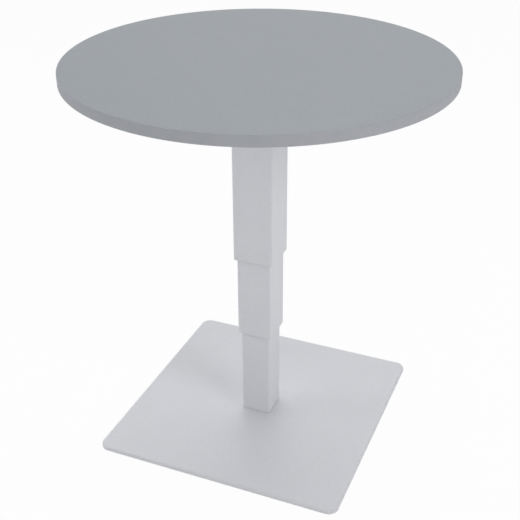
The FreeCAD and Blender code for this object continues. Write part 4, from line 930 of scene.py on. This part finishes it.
def make_inlet():
    """Socket of the mains inlet with its two pins, made face up and then turned to its side."""
    low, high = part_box("mains_inlet")
    flange, recess_depth, body_depth = 2.5 * MM, 14 * MM, 17 * MM
    overlap, pin_side = 1 * MM, 4.3 * MM
    front = rounded_slab(high.x - low.x, high.z - low.z, 2 * MM, 0, flange, steps=5)
    round_edges(front, rim_edges(front, flange), 0.8 * MM)
    body = rounded_slab(21 * MM, 14 * MM, 1 * MM, -body_depth, overlap, steps=3)
    recess = rounded_slab(17 * MM, 9.6 * MM, 3 * MM, flange - recess_depth, flange + overlap,
                          steps=6)
    socket = cut_away(unite(front, body), recess)
    pin = in_mm([(0, -11.5), (1.2, -11.5), (1.2, -1.4), (0.8, -0.6), (0, -0.5)])
    pins = join(*[spun(pin, steps=20, centre=(x, 0, 0)) for x in (pin_side, -pin_side)])
    for shape in (socket, pins):
        turn(shape, 90, "X")
        move(shape, ((low.x + high.x) / 2, low.y + flange, (low.z + high.z) / 2))
    put_up(socket, "mains_inlet_socket", ["mains_inlet"], smooth_angle=40)
    put_up(pins, "mains_inlet_pins", [], slot="bronze", body="top", smooth_angle=40)


def make_grommets():
    """Rubber grommets with a rounded lip."""
    profile = in_mm([(2.65, -2.5), (5, -2.5), (5, 0), (6.5, 0), (6.5, 0.7), (6.1, 1.3),
                     (5.4, 1.5), (3.2, 1.5), (2.65, 1.1), (2.65, -2.5)])
    motor_side = spun(profile, 40, "X", (-160 * MM, 25 * MM, 720 * MM))
    handset_side = spun(profile, 40, "Y", (-178 * MM, 80 * MM, 733 * MM))
    in_handset = spun(profile, 40, "Y", (-290 * MM, 55 * MM, 733 * MM))
    put_up(join(motor_side, handset_side, in_handset), "lead_grommets_moulded",
           ["lead_grommets"], smooth_angle=45)


def make_lead(node, route):
    """A round two-core lead laid along its route."""
    curve = bpy.data.curves.new(node + "_sheath", "CURVE")
    curve.dimensions = "3D"
    curve.bevel_depth = LEAD_RADIUS
    curve.bevel_resolution = 6
    curve.resolution_u = 12
    curve.use_fill_caps = True
    line = curve.splines.new("NURBS")
    line.points.add(len(route) - 1)
    for point, place in zip(line.points, route):
        point.co = (*[c * MM for c in place], 1)
    line.order_u = 3
    line.use_endpoint_u = True
    lead = bpy.data.objects.new(node + "_sheath", curve)
    bpy.context.scene.collection.objects.link(lead)
    curve.materials.append(FINISHES[SLOT_OF[node]])
    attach(lead, BODY_OF[node])
    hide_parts(node)


def make_button(node, arrow_heading):
    """Push button with a rounded cap and a white arrow moulded into its face."""
    low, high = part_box(node)
    centre_y, centre_z = (low.y + high.y) / 2, (low.z + high.z) / 2
    face = low.x / MM
    profile = in_mm([(0, face), (4.8, face + 0.05), (5.6, face + 0.4), (6, face + 1.2),
                     (6, face + 5.3), (7.5, face + 5.3), (7.5, face + 6.8),
                     (2.5, face + 6.8), (2.5, face + 8.7), (0, face + 8.7)])
    put_up(spun(profile, 48, "X", (0, centre_y, centre_z)), node + "_cap", [node],
           smooth_angle=35)
    back_radius, front_radius, thickness = 3.4 * MM, 3.2 * MM, 0.5 * MM
    arrow = bmesh.new()
    bmesh.ops.create_cone(arrow, cap_ends=True, segments=3, radius1=back_radius,
                          radius2=front_radius, depth=thickness)
    turn(arrow, -90, "Y")
    corner = max(arrow.verts, key=lambda v: math.hypot(v.co.y, v.co.z)).co
    turn(arrow, arrow_heading - math.degrees(math.atan2(corner.z, corner.y)), "X")
    move(arrow, (low.x, centre_y, centre_z))
    put_up(arrow, node + "_arrow", [], slot="white_plastic", body=node, smooth_angle=35)


make_housings()
make_inlet()
make_grommets()
make_lead("motor_lead", MOTOR_LEAD_ROUTE)
make_lead("handset_lead", HANDSET_LEAD_ROUTE)
make_button("up_button", arrow_heading=90)
make_button("down_button", arrow_heading=270)
